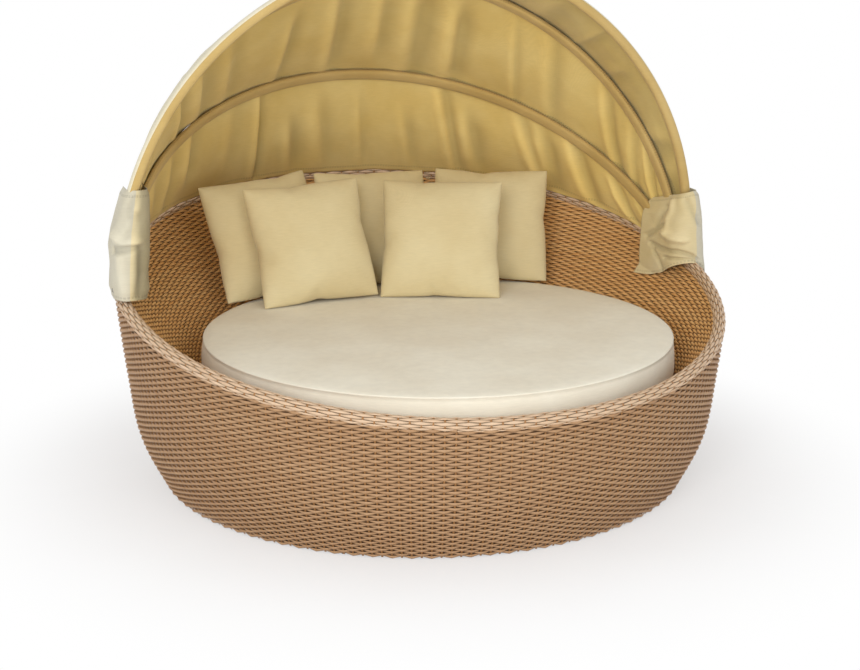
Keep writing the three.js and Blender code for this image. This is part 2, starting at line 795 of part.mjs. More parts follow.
function flapPoint(side, u, v, outward) {
  const top = pivot_height + side.rise;
  const height = top + (flapBottom(side, u) - top) * v;
  const row = flapRow(side.row_shares, (height - pivot_height) / side.rise);
  const inner = hoop_radius - hoop_pitch - hoop_tube_diameter / 2 - flap_reach * row.inner;
  const outer = hoop_radius + hoop_pitch + hoop_tube_diameter / 2 + flap_reach * row.outer;
  const bend = (outer - inner) / 2;
  const centre_y = bend - flap_reach * row.front;
  const back_y = flap_reach * row.back;
  const corner = flap_corner_share;
  let radius;
  let y;
  if (u < corner) {
    y = back_y + (centre_y - back_y) * (u / corner);
    const turn = pivot_turn + Math.asin(y / inner);
    radius = Math.min(inner, slopeRadius(turn, height) - cloth_thickness) - outward;
  } else if (u > 1 - corner) {
    radius = outer + outward;
    y = back_y / 2 + (centre_y - back_y / 2) * ((1 - u) / corner);
  } else {
    const angle = Math.PI * (1 + (u - corner) / (1 - 2 * corner));
    radius = (inner + outer) / 2 + (bend + outward) * Math.cos(angle);
    y = centre_y + (bend + outward) * Math.sin(angle);
  }
  return new THREE.Vector3(Math.sqrt(radius * radius - y * y), y, height);
}

function flapGeometry(side) {
  const surface = (u, v, outward) => flapPoint(side, u, v, outward);
  return sheetGeometry(surface, cloth_thickness, 14, 6);
}

const right_flap = {
  rise: right_flap_rise,
  drop: right_flap_drop,
  outer_drop: right_flap_outer_drop,
  row_shares: right_flap_row_shares,
};
const left_flap = {
  rise: left_flap_rise,
  drop: left_flap_drop,
  outer_drop: left_flap_outer_drop,
  row_shares: left_flap_row_shares,
};
addPart('right_corner_flap', flapGeometry(right_flap), canopy_cloth);
addPart('left_corner_flap', mirrored(flapGeometry(left_flap)), canopy_cloth);

export default daybed;
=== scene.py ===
from functools import partial
from math import asin, ceil, cos, exp, hypot, pi, radians, sin, sqrt
import bpy
import numpy as np
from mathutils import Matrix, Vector, noise


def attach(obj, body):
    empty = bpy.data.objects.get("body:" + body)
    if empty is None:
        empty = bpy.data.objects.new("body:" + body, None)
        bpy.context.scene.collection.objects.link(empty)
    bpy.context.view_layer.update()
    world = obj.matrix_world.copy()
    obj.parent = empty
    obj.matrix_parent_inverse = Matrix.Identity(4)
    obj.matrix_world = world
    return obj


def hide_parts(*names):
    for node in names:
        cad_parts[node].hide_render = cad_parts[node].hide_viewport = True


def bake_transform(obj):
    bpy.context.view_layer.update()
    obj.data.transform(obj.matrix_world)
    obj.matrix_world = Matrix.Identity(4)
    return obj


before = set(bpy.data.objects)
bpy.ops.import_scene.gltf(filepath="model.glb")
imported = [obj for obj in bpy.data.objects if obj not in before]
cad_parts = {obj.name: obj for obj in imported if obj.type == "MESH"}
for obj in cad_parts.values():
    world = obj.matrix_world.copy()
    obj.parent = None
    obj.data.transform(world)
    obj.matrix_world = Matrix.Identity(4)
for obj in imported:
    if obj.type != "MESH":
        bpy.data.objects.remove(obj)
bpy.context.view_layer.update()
scene = bpy.context.scene
scene.view_settings.view_transform = "Standard"
fullTurn = 2 * pi
plainWhite = (1, 1, 1, 1)
print("frame loaded")


# a node tree: add gives a new node and out its first output, with inputs that are set or linked by name
class Net:
    def __init__(self, tree):
        self.tree = tree

    def fill(self, made, inputs):
        for key, value in inputs.items():
            if isinstance(value, bpy.types.NodeSocket):
                self.tree.links.new(value, made.inputs[key])
            else:
                made.inputs[key].default_value = value

    def add(self, kind, inputs=None, **settings):
        made = self.tree.nodes.new(kind)
        for key, value in settings.items():
            setattr(made, key, value)
        self.fill(made, inputs or {})
        return made

    def out(self, kind, inputs=None, **settings):
        return self.add(kind, inputs, **settings).outputs[0]

    def math(self, operation, *values):
        return self.out("ShaderNodeMath", dict(enumerate(values)), operation=operation)

    def times(self, a, b):
        return self.math("MULTIPLY", a, b)

    def vector(self, operation, a, b):
        return self.out("ShaderNodeVectorMath", {0: a, 1: b}, operation=operation)

    def scale(self, vector, factor):
        return self.out("ShaderNodeVectorMath", {0: vector, "Scale": factor}, operation="SCALE")

    def split(self, vector):
        return self.add("ShaderNodeSeparateXYZ", {0: vector}).outputs

    def join(self, **parts):
        return self.out("ShaderNodeCombineXYZ", parts)

    def range(self, value, fromMin, fromMax, toMin=0.0, toMax=1.0, **settings):
        return self.out("ShaderNodeMapRange", {"Value": value, "From Min": fromMin, "From Max": fromMax,
                                               "To Min": toMin, "To Max": toMax}, **settings)

    def mix(self, share, first, second):
        return self.add("ShaderNodeMix", {0: share, 6: first, 7: second}, data_type="RGBA").outputs[2]

    def noise(self, vector, scale, detail, more=None, **settings):
        inputs = {"Vector": vector, "Scale": scale, "Detail": detail, **(more or {})}
        return self.add("ShaderNodeTexNoise", inputs, **settings).outputs

    def bump(self, height, strength, distance):
        return self.out("ShaderNodeBump", {"Strength": strength, "Distance": distance, "Height": height})

    def place(self):
        return self.add("ShaderNodeTexCoord").outputs["Object"]

    def named(self, name):
        return self.add("ShaderNodeAttribute", attribute_name=name).outputs["Fac"]


def newGroup(name, kind, inputs, outputs):
    tree = bpy.data.node_groups.new(name, kind)
    for way, sockets in (("INPUT", inputs), ("OUTPUT", outputs)):
        for title, sort, *value in sockets:
            made = tree.interface.new_socket(title, in_out=way, socket_type="NodeSocket" + sort)
            if value:
                made.default_value = value[0]
    net = Net(tree)
    return net, net.add("NodeGroupInput").outputs


def rgba(hexCode, factor=1.0):
    parts = [int(hexCode[i:i + 2], 16) / 255 for i in (0, 2, 4)]
    return [factor * (p / 12.92 if p <= 0.04045 else ((p + 0.055) / 1.055) ** 2.4) for p in parts] + [1.0]


def newMaterial(name):
    material = bpy.data.materials.new(name)
    material.use_nodes = True
    return material, Net(material.node_tree), material.node_tree.nodes["Principled BSDF"]


def noiseAt(x, y, z):
    return noise.noise(Vector((x, y, z)))


def smoothStep(t):
    t = np.clip(t, 0, 1)
    return t * t * (3 - 2 * t)


def between(low, value, high):
    return min(max(value, low), high)


def meshObject(name, points, faces, *materials, smooth=True):
    mesh = bpy.data.meshes.new(name)
    mesh.from_pydata([tuple(p) for p in points], [], [tuple(f) for f in faces])
    mesh.validate()
    for material in materials:
        mesh.materials.append(material)
    made = bpy.data.objects.new(name, mesh)
    scene.collection.objects.link(made)
    if smooth:
        mesh.shade_smooth()
    return made


def meshPoints(mesh):
    flat = np.empty(len(mesh.vertices) * 3)
    mesh.vertices.foreach_get("co", flat)
    return flat.reshape(-1, 3)


def gridFaces(columns, rows, closeColumns=False, flip=False):
    faces = []
    for i in range(columns if closeColumns else columns - 1):
        for j in range(rows - 1):
            a, b = i * rows + j, ((i + 1) % columns) * rows + j
            quad = (a, b, b + 1, a + 1)
            faces.append(quad[::-1] if flip else quad)
    return faces


def pointAttributes(made, kind, **lists):
    for name, values in lists.items():
        attribute = made.data.attributes.new(name, kind, "POINT")
        field = "vector" if kind == "FLOAT_VECTOR" else "value"
        attribute.data.foreach_set(field, np.asarray(values, dtype=np.float32).ravel())


def bakeModifiers(made):
    bpy.context.view_layer.update()
    ready = made.evaluated_get(bpy.context.evaluated_depsgraph_get())
    mesh, old = bpy.data.meshes.new_from_object(ready), made.data
    made.modifiers.clear()
    made.data = mesh
    bpy.data.meshes.remove(old)
    mesh.name = made.name


def thicken(made, thickness, offset=0, material=0):
    shell = made.modifiers.new("shell", "SOLIDIFY")
    shell.thickness = thickness
    shell.offset = offset
    shell.material_offset = material
    bakeModifiers(made)


def enter(made, slotName, replaced=None, body="basket"):
    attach(made, body)
    if replaced:
        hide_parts(replaced)


def ringPoint(radius, turn, height):
    return Vector((radius * sin(turn), -radius * cos(turn), height))


# camera, floor and light
view = {"azimuth": -20.718, "elevation": 14.867, "distance": 4.5, "target": (0.024, 0.0, 0.388),
        "focal": 1488.9, "sensor": 36, "width": 860}


def addCamera():
    azimuth, elevation = radians(view["azimuth"]), radians(view["elevation"])
    back = ringPoint(cos(elevation), azimuth, sin(elevation))
    camera = bpy.data.objects.new("camera", bpy.data.cameras.new("camera"))
    camera.data.sensor_fit = "HORIZONTAL"
    camera.data.sensor_width = view["sensor"]
    camera.data.lens = view["sensor"] * view["focal"] / view["width"]
    camera.location = Vector(view["target"]) + back * view["distance"]
    camera.rotation_euler = back.to_track_quat("Z", "Y").to_euler()
    scene.collection.objects.link(camera)
    scene.camera = camera


studio = {"sky": 0.70, "keyPower": 122, "keySize": 2.6, "keyPlace": (-3.0, -4.5, 2.4), "fillPower": 34,
          "fillSize": 3.0, "fillPlace": (0.6, -5.2, 1.5), "aim": (0, 0, 0.45),
          "floorTones": ("ffffff", "f7f6f5"), "floorSize": 14, "fadeFrom": 0.84, "fadeTo": 1.5,
          "fadeLeast": 0.5}


def raySum(net):
    rays = net.add("ShaderNodeLightPath").outputs
    total = net.math("MAXIMUM", rays["Is Camera Ray"], rays["Is Glossy Ray"])
    return net.math("MAXIMUM", total, rays["Is Transmission Ray"])


def addLamp(name, power, size, place):
    lamp = bpy.data.lights.new(name, "AREA")
    lamp.shape = "DISK"
    lamp.size = size
    lamp.energy = power
    made = bpy.data.objects.new(name, lamp)
    made.location = place
    made.rotation_euler = (Vector(studio["aim"]) - made.location).to_track_quat("-Z", "Y").to_euler()
    scene.collection.objects.link(made)


def addStudio():
    world = bpy.data.worlds.new("studio")
    scene.world = world
    world.use_nodes = True
    world.node_tree.nodes.clear()
    net = Net(world.node_tree)
    sky = net.out("ShaderNodeBackground", {"Color": plainWhite, "Strength": studio["sky"]})
    white = net.out("ShaderNodeBackground", {"Color": plainWhite, "Strength": 1.0})
    mix = net.out("ShaderNodeMixShader", {0: raySum(net), 1: sky, 2: white})
    net.add("ShaderNodeOutputWorld", {"Surface": mix})
    for name in ("key", "fill"):
        addLamp(name + "Lamp", studio[name + "Power"], studio[name + "Size"], studio[name + "Place"])
    material, net, shader = newMaterial("floorPaper")
    net.tree.nodes.clear()
    place = net.place()
    reach = net.add("ShaderNodeVectorMath", {0: place}, operation="LENGTH").outputs["Value"]
    fade = net.range(reach, studio["fadeFrom"], studio["fadeTo"], interpolation_type="SMOOTHSTEP")
    fade = net.math("MULTIPLY_ADD", fade, 1 - studio["fadeLeast"], studio["fadeLeast"])
    fade = net.times(fade, raySum(net))
    tone = net.mix(net.noise(place, 3.0, 3.0)[0], *map(rgba, studio["floorTones"]))
    paper = net.out("ShaderNodeBsdfDiffuse", {"Color": tone})
    glow = net.out("ShaderNodeEmission", {"Color": plainWhite, "Strength": 1.0})
    mix = net.out("ShaderNodeMixShader", {0: fade, 1: paper, 2: glow})
    net.add("ShaderNodeOutputMaterial", {"Surface": mix})
    size = studio["floorSize"] / 2
    corners = [(-size, -size, 0), (size, -size, 0), (size, size, 0), (-size, size, 0)]
    meshObject("floor", corners, [(0, 1, 2, 3)], material, smooth=False)


addCamera()
addStudio()
print("camera, floor and light ready")


# the wall's profile, as the frame has it
wall = {"heights": (0, 0.150, 0.320, 0.550, 0.750), "radii": (0.781, 0.850, 0.876, 0.900, 0.919),
        "half": 0.0159, "rimFront": 0.387, "rimBack": 0.750, "rimShape": 1.1, "shoulder": 0.0137,
        "shoulderShare": 0.75, "floorGap": 0.003, "deckTop": 0.3079, "seatRadius": 0.6956, "seatForward": 0.130,
        "slopeDrop": 0.0153, "skin": 0.007, "ribGap": 0.0089}
pivotHeight = 0.60506


def wallMiddle(height):
    z = np.clip(np.asarray(height, dtype=float), -0.05, 0.8)
    i = np.clip(np.searchsorted(wall["heights"], z, side="right") - 1, 0, 3)
    ends = ((line[1], *line, line[-2]) for line in (wall["heights"], wall["radii"]))
    (tPrev, t0, t1, tNext), (vPrev, v0, v1, vNext) = ([np.take(end, i + k) for k in range(4)] for end in ends)
    half = 0.5 * (t1 - t0)
    weightPrev, weightNext = half / (t0 - tPrev), half / (tNext - t1)
    p = (z - t0) / (t1 - t0)
    first = p ** 3 - 1.5 * p ** 2 - 0.5 * p + 1
    bend = weightPrev * p * (1 - p) ** 2 * (v0 - vPrev) + weightNext * p ** 2 * (1 - p) * (v1 - vNext)
    return first * v0 + (1 - first) * v1 + bend - wall["half"]


def rimHeight(turn):
    share = (1 - np.cos(turn)) / 2
    shoulder = (share / wall["shoulderShare"]) ** 3 * (1 - share) / (1 - wall["shoulderShare"])
    climb = (wall["rimBack"] - wall["rimFront"]) * share ** wall["rimShape"]
    return wall["rimFront"] + climb + wall["shoulder"] * shoulder


def wallPoint(height, offset):
    slope = (wallMiddle(height + 0.001) - wallMiddle(height - 0.001)) / 0.002
    length = np.hypot(1, slope)
    return wallMiddle(height) + offset / length, height - offset * slope / length, slope / length, 1 / length


# the inner skin slopes straight from the mattress's outline to the rim: radius and height of its two ends
def slopeEnds(turn):
    top, forward = float(rimHeight(turn)) - wall["slopeDrop"], wall["seatForward"]
    foot = forward * cos(turn) + sqrt(wall["seatRadius"] ** 2 - (forward * sin(turn)) ** 2)
    reach = float(wallMiddle(top)) - wall["ribGap"] - foot
    rise = top - wall["deckTop"]
    stretch = hypot(1, reach / rise)
    head = float(wallMiddle(top)) - wall["ribGap"] - wall["skin"] * stretch
    inset = weave["innerInset"] * stretch
    return (foot + inset, wall["deckTop"]), (head + inset, top)


# woven skins
def buildWeaveTree():
    net, given = newGroup("wickerWeave", "GeometryNodeTree", (
        ("Geometry", "Geometry"), ("Rows", "Int", 60), ("Stakes", "Int", 24), ("Samples", "Int", 4),
        ("Stake Levels", "Int", 20), ("Strand Width", "Float", 0.0076), ("Strand Thickness", "Float", 0.003),
        ("Depth", "Float", 0.002), ("Stake Width", "Float", 0.006), ("Stake Thickness", "Float", 0.0022),
        ("Wobble", "Float", 0.0006), ("Swell", "Float", 0.34), ("Sharpness", "Float", 1.9), ("Seed", "Int", 3),
        ("Strand Material", "Material"), ("Stake Material", "Material")), (("Geometry", "Geometry"),))
    vector = "FLOAT_VECTOR"

    def step(kind, inputs=None, **settings):
        return net.out("GeometryNode" + kind, inputs, **settings)

    def store(geometry, name, value, kind, domain="POINT"):
        return step("StoreNamedAttribute", {"Geometry": geometry, "Name": name, "Value": value},
                    data_type=kind, domain=domain)

    def read(name, kind):
        return step("InputNamedAttribute", {"Name": name}, data_type=kind)

    def copies(end, count, amount):
        line = step("CurvePrimitiveLine", {"Start": (0, 0, 0), "End": end})
        line = step("ResampleCurve", {"Curve": line, "Count": count}, mode="COUNT")
        return net.add("GeometryNodeDuplicateElements", {"Geometry": line, "Amount": amount},
                       domain="SPLINE").outputs

    def onSkin(curves, spot, row):
        curves = store(store(curves, "weaveSpot", spot, vector), "weaveRow", row, "FLOAT")
        where = {"Mesh": given["Geometry"], "Source UV Map": read("skinMap", vector),
                 "Sample UV": read("weaveSpot", vector)}
        found, valid = net.add("GeometryNodeSampleUVSurface", {"Value": position, **where},
                               data_type=vector).outputs
        facing = step("SampleUVSurface", {"Value": read("skinNormal", vector), **where}, data_type=vector)
        curves = store(curves, "weaveNormal", facing, vector)
        missed = net.out("FunctionNodeBooleanMath", {0: valid}, operation="NOT")
        curves = store(curves, "weaveMissed", missed, "BOOLEAN")
        curves = step("SetPosition", {"Geometry": curves, "Position": found})
        return step("DeleteGeometry", {"Geometry": curves, "Selection": read("weaveMissed", "BOOLEAN")},
                    domain="POINT", mode="ALL")

    def swept(curves, width, thickness, sides, isStake, swell=1.0):
        curves = step("SetCurveNormal", {"Curve": curves, "Normal": read("weaveNormal", vector)}, mode="FREE")
        ring = step("CurvePrimitiveCircle", {"Resolution": sides, "Radius": 0.5}, mode="RADIUS")
        scale = net.join(X=thickness, Y=width, Z=1.0)
        ring = step("Transform", {"Geometry": ring, "Scale": scale})
        mesh = step("CurveToMesh", {"Curve": curves, "Profile Curve": ring, "Scale": swell, "Fill Caps": True})
        return store(mesh, "isStake", isStake, "BOOLEAN", "FACE")

    def cloud(scales, shift, detail):
        place = net.vector("ADD", net.vector("MULTIPLY", position, scales), shift)
        return net.noise(place, 1.0, detail, {"W": seeded}, noise_dimensions="4D")

    # strands: rows of points that pass in front of and behind the stakes in turn
    position = step("InputPosition")
    across, upward = net.split(position)[:2]
    count = net.math("MULTIPLY_ADD", given["Stakes"], given["Samples"], 1.0)
    rows = copies((1, 0, 0), count, given["Rows"])
    level = net.math("DIVIDE", net.math("ADD", rows["Duplicate Index"], 0.5), given["Rows"])
    spot = net.join(X=across, Y=level)
    strands = onSkin(rows[0], spot, rows["Duplicate Index"])
    row = read("weaveRow", "FLOAT")
    along = net.times(net.split(read("weaveSpot", vector))[0], given["Stakes"])
    wave = net.math("COSINE", net.times(net.math("ADD", along, row), pi))
    peaked = net.math("POWER", net.math("ABSOLUTE", wave), given["Sharpness"])
    wave = net.times(peaked, net.math("SIGN", wave))
    lane = net.join(Z=net.times(row, 0.37))
    seeded = net.times(given["Seed"], 1.7)
    shift = net.vector("SUBTRACT", cloud((40, 40, 0), lane, 1.0)["Color"], (0.5, 0.5, 0.5))
    wobble = net.vector("MULTIPLY", net.scale(shift, given["Wobble"]), (2, 2, 4))
    push = net.scale(read("weaveNormal", vector), net.times(wave, given["Depth"]))
    strands = step("SetPosition", {"Geometry": strands, "Offset": net.vector("ADD", push, wobble)})
    strands = store(strands, "strandLift", wave, "FLOAT")
    broad = cloud((2.2, 2.2, 0), net.vector("MULTIPLY", lane, (0, 0, 7.3)), 2.0)[0]
    strands = store(strands, "strandTone", broad, "FLOAT")
    swell = net.math("MULTIPLY_ADD", read("strandLift", "FLOAT"), given["Swell"], 1.0)
    strands = swept(strands, given["Strand Width"], given["Strand Thickness"], 6, False, swell)

    # stakes: upright strips that the strands go round
    posts = copies((0, 1, 0), given["Stake Levels"], given["Stakes"])
    around = net.math("DIVIDE", posts["Duplicate Index"], given["Stakes"])
    spot = net.join(X=around, Y=upward)
    stakes = onSkin(posts[0], spot, posts["Duplicate Index"])
    stakes = swept(stakes, given["Stake Width"], given["Stake Thickness"], 4, True)

    joined = net.add("GeometryNodeJoinGeometry")
    for piece in (strands, stakes):
        net.tree.links.new(piece, joined.inputs[0])
    whole = step("RealizeInstances", {"Geometry": joined.outputs[0]})
    whole = step("SetMaterial", {"Geometry": whole, "Material": given["Strand Material"]})
    whole = step("SetMaterial", {"Geometry": whole, "Selection": read("isStake", "BOOLEAN"),
                                 "Material": given["Stake Material"]})
    net.add("NodeGroupOutput", {0: whole})
    return net.tree


weaveTree = buildWeaveTree()
weave = {"pitch": 0.0077, "stakes": 192, "samples": 4, "strandWidth": 0.0073, "strandThickness": 0.0028,
         "outerDepth": 0.0030, "innerDepth": 0.0030, "borderDepth": 0.0011, "outerOffset": 0.0122,
         "innerInset": 0.0038, "topDrop": 0.009, "bottomGap": 0.0055, "pad": 0.02, "columns": 26, "levels": 24,
         "borderRadius": 0.0162, "borderRows": 12, "borderColumns": 30, "borderLevels": 18, "borderStakes": 12,
         "borderAngles": (-75, 255), "outerStrand": ("b5906a", "a67f59"), "innerStrand": ("e4b578", "d49e60"),
         "borderStrand": ("dabd9e", "ceae8d"), "stakeShadedTone": "8a6238"}
shadowSheet = {"tone": "4a3018", "columns": 96, "levels": 14, "behind": 0.0052, "floorGap": 0.004,
          "thickness": 0.001}


def strandMaterial(name, roughness=0.42):
    material, net, shader = newMaterial(name)
    spread = net.range(net.named("strandTone"), 0.3, 0.7)
    base = net.mix(spread, *map(rgba, weave[name]))
    streak = net.noise(net.vector("MULTIPLY", net.place(), (60, 60, 900)), 1.0, 2.0)[0]
    shade = net.range(streak, 0.25, 0.75, 0.88, 1.1)
    # painted shade: strands are darker where they pass behind the stakes
    paintedUnderShade = net.range(net.named("strandLift"), -1.0, 0.3, 0.72, 1.0)
    net.fill(shader, {"Base Color": net.scale(base, net.times(shade, paintedUnderShade)),
                        "Roughness": net.range(streak, 0, 1, roughness - 0.06, roughness + 0.12),
                        "Normal": net.bump(streak, 0.25, 0.0004), "Specular IOR Level": 0.42})
    return material


def darkMaterial(name, hexCode):
    material, net, shader = newMaterial(name)
    tone = net.mix(net.noise(net.place(), 120.0, 3.0)[0], rgba(hexCode), rgba(hexCode, 1.6))
    net.fill(shader, {"Base Color": tone, "Roughness": 0.7})
    return material


outerStrand = strandMaterial("outerStrand")
innerStrand = strandMaterial("innerStrand", 0.36)
borderStrand = strandMaterial("borderStrand")
# the stakes are darker than the strands partly as painted shade, for the shade they lie in between the floats
stakeMaterial = darkMaterial("stakeStrip", weave["stakeShadedTone"])
# painted shadow: the near black backing seen in the gaps between the strands
shadowSheetMaterial = darkMaterial("wallShadowSheet", shadowSheet["tone"])


# a wall's strands lie along this line: radius, height, facing outward and upward, and the way from its foot
def skinLine(side, turn, levels):
    top = float(rimHeight(turn)) - weave["topDrop"]
    line = []
    if side == "outer":
        bottom = wall["floorGap"] + weave["bottomGap"]
        for j in range(levels + 1):
            level = bottom + (top - bottom) * j / levels
            radius, z, slope, flat = (float(v) for v in wallPoint(level, weave["outerOffset"]))
            line.append((radius, z, flat, -slope, level - bottom))
        return line
    foot, head = (Vector(end) for end in slopeEnds(turn))
    along = (head - foot).normalized()
    whole = (top - foot.y) / along.y
    for j in range(levels + 1):
        spot = foot + along * (whole * j / levels)
        line.append((spot.x, spot.y, -along.y, along.x, whole * j / levels))
    return line


def rimPlace(turn):
    height = float(rimHeight(turn))
    return ringPoint(float(wallMiddle(height)), turn, height)


def rimFrame(turn, step=0.002):
    tangent = (rimPlace(turn + step) - rimPlace(turn - step)).normalized()
    outward = ringPoint(1, turn, 0)
    outward = (outward - tangent * outward.dot(tangent)).normalized()
    up = outward.cross(tangent).normalized()
    return rimPlace(turn), outward, up if up.z >= 0 else -up, tangent


# one upright line of a guide surface: its points, their normals and their levels from 0 to 1
def wallLine(side, rows, turn):
    for radius, z, outward, upward, far in skinLine(side, turn, weave["levels"]):
        yield ringPoint(radius, turn, z), ringPoint(outward, turn, upward), far / (rows * weave["pitch"])


def borderLine(turn):
    place, outward, up, tangent = rimFrame(turn)
    fromAngle, toAngle = (radians(angle) for angle in weave["borderAngles"])
    for j in range(weave["borderLevels"] + 1):
        level = j / weave["borderLevels"]
        angle = fromAngle + (toAngle - fromAngle) * level
        square = outward * cos(angle) + up * sin(angle)
        yield place + square * weave["borderRadius"], square, level


# a guide surface carries a flat map from 0 to 1 and its normals; the strands are laid on that map
def weaveSector(side, k, sectors, columns, rows, lineAt, strand, replaced, slotName, **more):
    points, maps, normals = [], [], []
    for i in range(columns + 1):
        share = -weave["pad"] + (1 + 2 * weave["pad"]) * i / columns
        for place, facing, level in lineAt(fullTurn * (k + share) / sectors):
            points.append(place)
            maps.append((share, level, 0))
            normals.append(facing)
    made = meshObject(f"{side}_weave_{k + 1}", points, gridFaces(columns + 1, len(points) // (columns + 1)))
    pointAttributes(made, "FLOAT_VECTOR", skinMap=maps, skinNormal=normals)
    values = {"Rows": rows, "Stakes": weave["stakes"] // sectors, "Samples": weave["samples"],
              "Strand Width": weave["strandWidth"], "Strand Thickness": weave["strandThickness"],
              "Strand Material": strand, "Stake Material": stakeMaterial, **more}
    modifier = made.modifiers.new("weave", "NODES")
    modifier.node_group = weaveTree
    for item in weaveTree.interface.items_tree:
        if item.in_out == "INPUT" and item.name in values:
            modifier[item.identifier] = values[item.name]
    bakeModifiers(made)
    for extra in ("weaveSpot", "weaveRow", "weaveNormal", "weaveMissed", "isStake", "skinMap", "skinNormal"):
        if extra in made.data.attributes:
            made.data.attributes.remove(made.data.attributes[extra])
    made.data.shade_smooth()
    enter(made, slotName, replaced)


def weaveWall(side, sectors, strand, slotName):
    for k in range(sectors):
        ends = [fullTurn * (k + end) / sectors for end in (0, 1)]
        rows = ceil(max(skinLine(side, turn, 1)[-1][4] for turn in ends) / weave["pitch"])
        weaveSector(side, k, sectors, weave["columns"], rows, partial(wallLine, side, rows), strand,
                    f"{side}_weave", slotName, Depth=weave[f"{side}Depth"])


weaveWall("outer", 8, outerStrand, "weave_outside")
weaveWall("inner", 4, innerStrand, "weave_inside")
for k in range(4):
    weaveSector("rim", k, 4, weave["borderColumns"], weave["borderRows"], borderLine, borderStrand,
                "rim_border", "weave_border",
                **{"Depth": weave["borderDepth"], "Stake Levels": weave["borderStakes"]})


# a dark backing close behind each skin, so that no light comes through between the strands; its dark colour is
# painted shadow in the gaps between them
def addShadowSheet(side):
    columns, levels, behind = shadowSheet["columns"], shadowSheet["levels"], shadowSheet["behind"]
    points = []
    for i in range(columns):
        turn = fullTurn * i / columns
        for radius, z, outward, upward, far in skinLine(side, turn, levels):
            height = max(z - behind * upward, shadowSheet["floorGap"])
            points.append(ringPoint(radius - behind * outward, turn, height))
    made = meshObject(f"{side}_wall_shadow_sheet", points, gridFaces(columns, levels + 1, closeColumns=True),
                      shadowSheetMaterial)
    thicken(made, shadowSheet["thickness"])
    enter(made, "weave_inside")


for side in ("outer", "inner"):
    addShadowSheet(side)
print("basket woven")


# cloth: two crossing threads, soft creases, and stitch dashes at set distances from a hem; a painted shade that
# each point carries darkens it
def buildThreads():
    net, given = newGroup(
        "clothThreads", "ShaderNodeTree",
        (("Thread Size", "Float", 0.0012), ("Crease Scale", "Float", 24.0), ("Crease Height", "Float", 0.25)),
        (("Shade", "Float"), ("Height", "Float"), ("Broad", "Float")))
    place = net.place()
    parts = net.split(net.scale(place, net.math("DIVIDE", 0.5, given["Thread Size"])))
    across = net.times(net.math("ADD", parts[0], parts[1]), fullTurn)
    upward = net.times(parts[2], fullTurn)
    threads = net.times(net.math("SINE", across), net.math("SINE", upward))
    broad = net.noise(place, 4.5, 3.0, {"Roughness": 0.55})[0]
    slub = net.noise(net.vector("MULTIPLY", place, (40, 40, 420)), 1.0, 2.0)[0]
    soft = net.noise(place, given["Crease Scale"], 4.0, {"Roughness": 0.6})[0]
    shade = net.math("ADD", net.math("MULTIPLY_ADD", threads, 0.03, 0.93),
                     net.times(slub, 0.14))
    height = net.math("MULTIPLY_ADD", soft, given["Crease Height"], net.times(threads, 0.05))
    net.add("NodeGroupOutput", {0: shade, 1: height, 2: net.range(broad, 0.35, 0.65)})
    return net.tree


threadTree = buildThreads()
seams = {"places": (0.0175, 0.0215), "halfWidth": 0.0009, "dash": 0.009, "dashShare": 0.6, "tone": 0.62,
         "sink": -0.2}


def clothMaterial(name, tones, sheen=0.15, creaseScale=24.0, crease=0.25, stitched=True, paintedShadeTone=0.2):
    material, net, shader = newMaterial(name)
    threads = net.add("ShaderNodeGroup", node_tree=threadTree)
    net.fill(threads, {"Crease Scale": creaseScale, "Crease Height": crease})
    shadeMade, height, broad = threads.outputs
    # painted shade: the colour is darkened by the painted shade that each point carries, by this tone for each
    # unit
    paintedDimming = net.math("MULTIPLY_ADD", net.named("foldHollow"), -paintedShadeTone, 1.0)
    shade = net.times(shadeMade, paintedDimming)
    if stitched:
        beat = net.math("FRACT", net.math("DIVIDE", net.named("hemRun"), seams["dash"]))
        dash = net.math("LESS_THAN", beat, seams["dashShare"])
        far, near = net.named("hemDistance"), 0.0
        for spot in seams["places"]:
            near = net.math("MAXIMUM", net.math("COMPARE", far, spot, seams["halfWidth"]), near)
        stitch = net.range(net.times(near, dash), 0, 1, 1, seams["tone"])
        shade = net.times(shade, stitch)
        height = net.math("MULTIPLY_ADD", near, seams["sink"], height)
    tone = net.mix(broad, *map(rgba, tones))
    net.fill(shader, {"Base Color": net.scale(tone, shade), "Normal": net.bump(height, 0.35, 0.004),
                        "Roughness": 0.85, "Sheen Weight": sheen, "Sheen Roughness": 0.5,
                        "Specular IOR Level": 0.25})
    return material


mattressCloth = clothMaterial("mattressCloth", ("eee8d6", "e7dfcb"), crease=0.12, stitched=False)
pillowCloth = clothMaterial("pillowCloth", ("dccda2", "d4c294"), sheen=0.2, stitched=False)
canopyInside = clothMaterial("canopyInside", ("e6cd86", "dcbf73"))
canopyOutside = clothMaterial("canopyOutside", ("e4dcc4", "dcd3b6"), paintedShadeTone=0.0)
# painted shade: the sleeves' cloth is the canopy's golden cloth made darker, for the shade the hoop bands lie in
shadedSleeveCloth = clothMaterial("shadedSleeveCloth", ("c8ac70", "bb9d5f"), creaseScale=40.0, crease=0.5)
flapCloth = clothMaterial("flapCloth", ("dccda6", "d1bf90"), crease=0.35)
flapOutside = clothMaterial("flapOutside", ("cdc7b2", "c3bba4"), crease=0.35)


# mattress: a round pad with a crowned top, a bulging side and a sewn edge above and below; the edges' points
# are outward from the side and upward from the bottom or the top, and a pucker has a height, waves and a climb
mattress = {"radius": 0.6856, "thickness": 0.140, "forward": 0.130, "bottom": 0.3080, "crown": 0.004,
            "bulge": 0.006, "steps": 220, "sideRows": 12, "topRings": 30, "topInset": 0.003,
            "underside": (0.3, 0.6, 0.85, 0.95), "sideFrom": 0.65, "softTo": 0.66, "soft": 0.0016,
            "softScale": 3.1,
            "lowerEdge": ((-0.014, 0.0002), (-0.004, 0.0025), (0.0022, 0.006), (0.0022, 0.0085), (0, 0.0105)),
            "upperEdge": ((0, -0.0075), (0.0022, -0.0055), (0.0022, -0.003), (-0.0015, -0.0012)),
            "puckers": ((0.0009, 23, 0), (0.0007, 41, 2), (0.0016, 5, 0))}


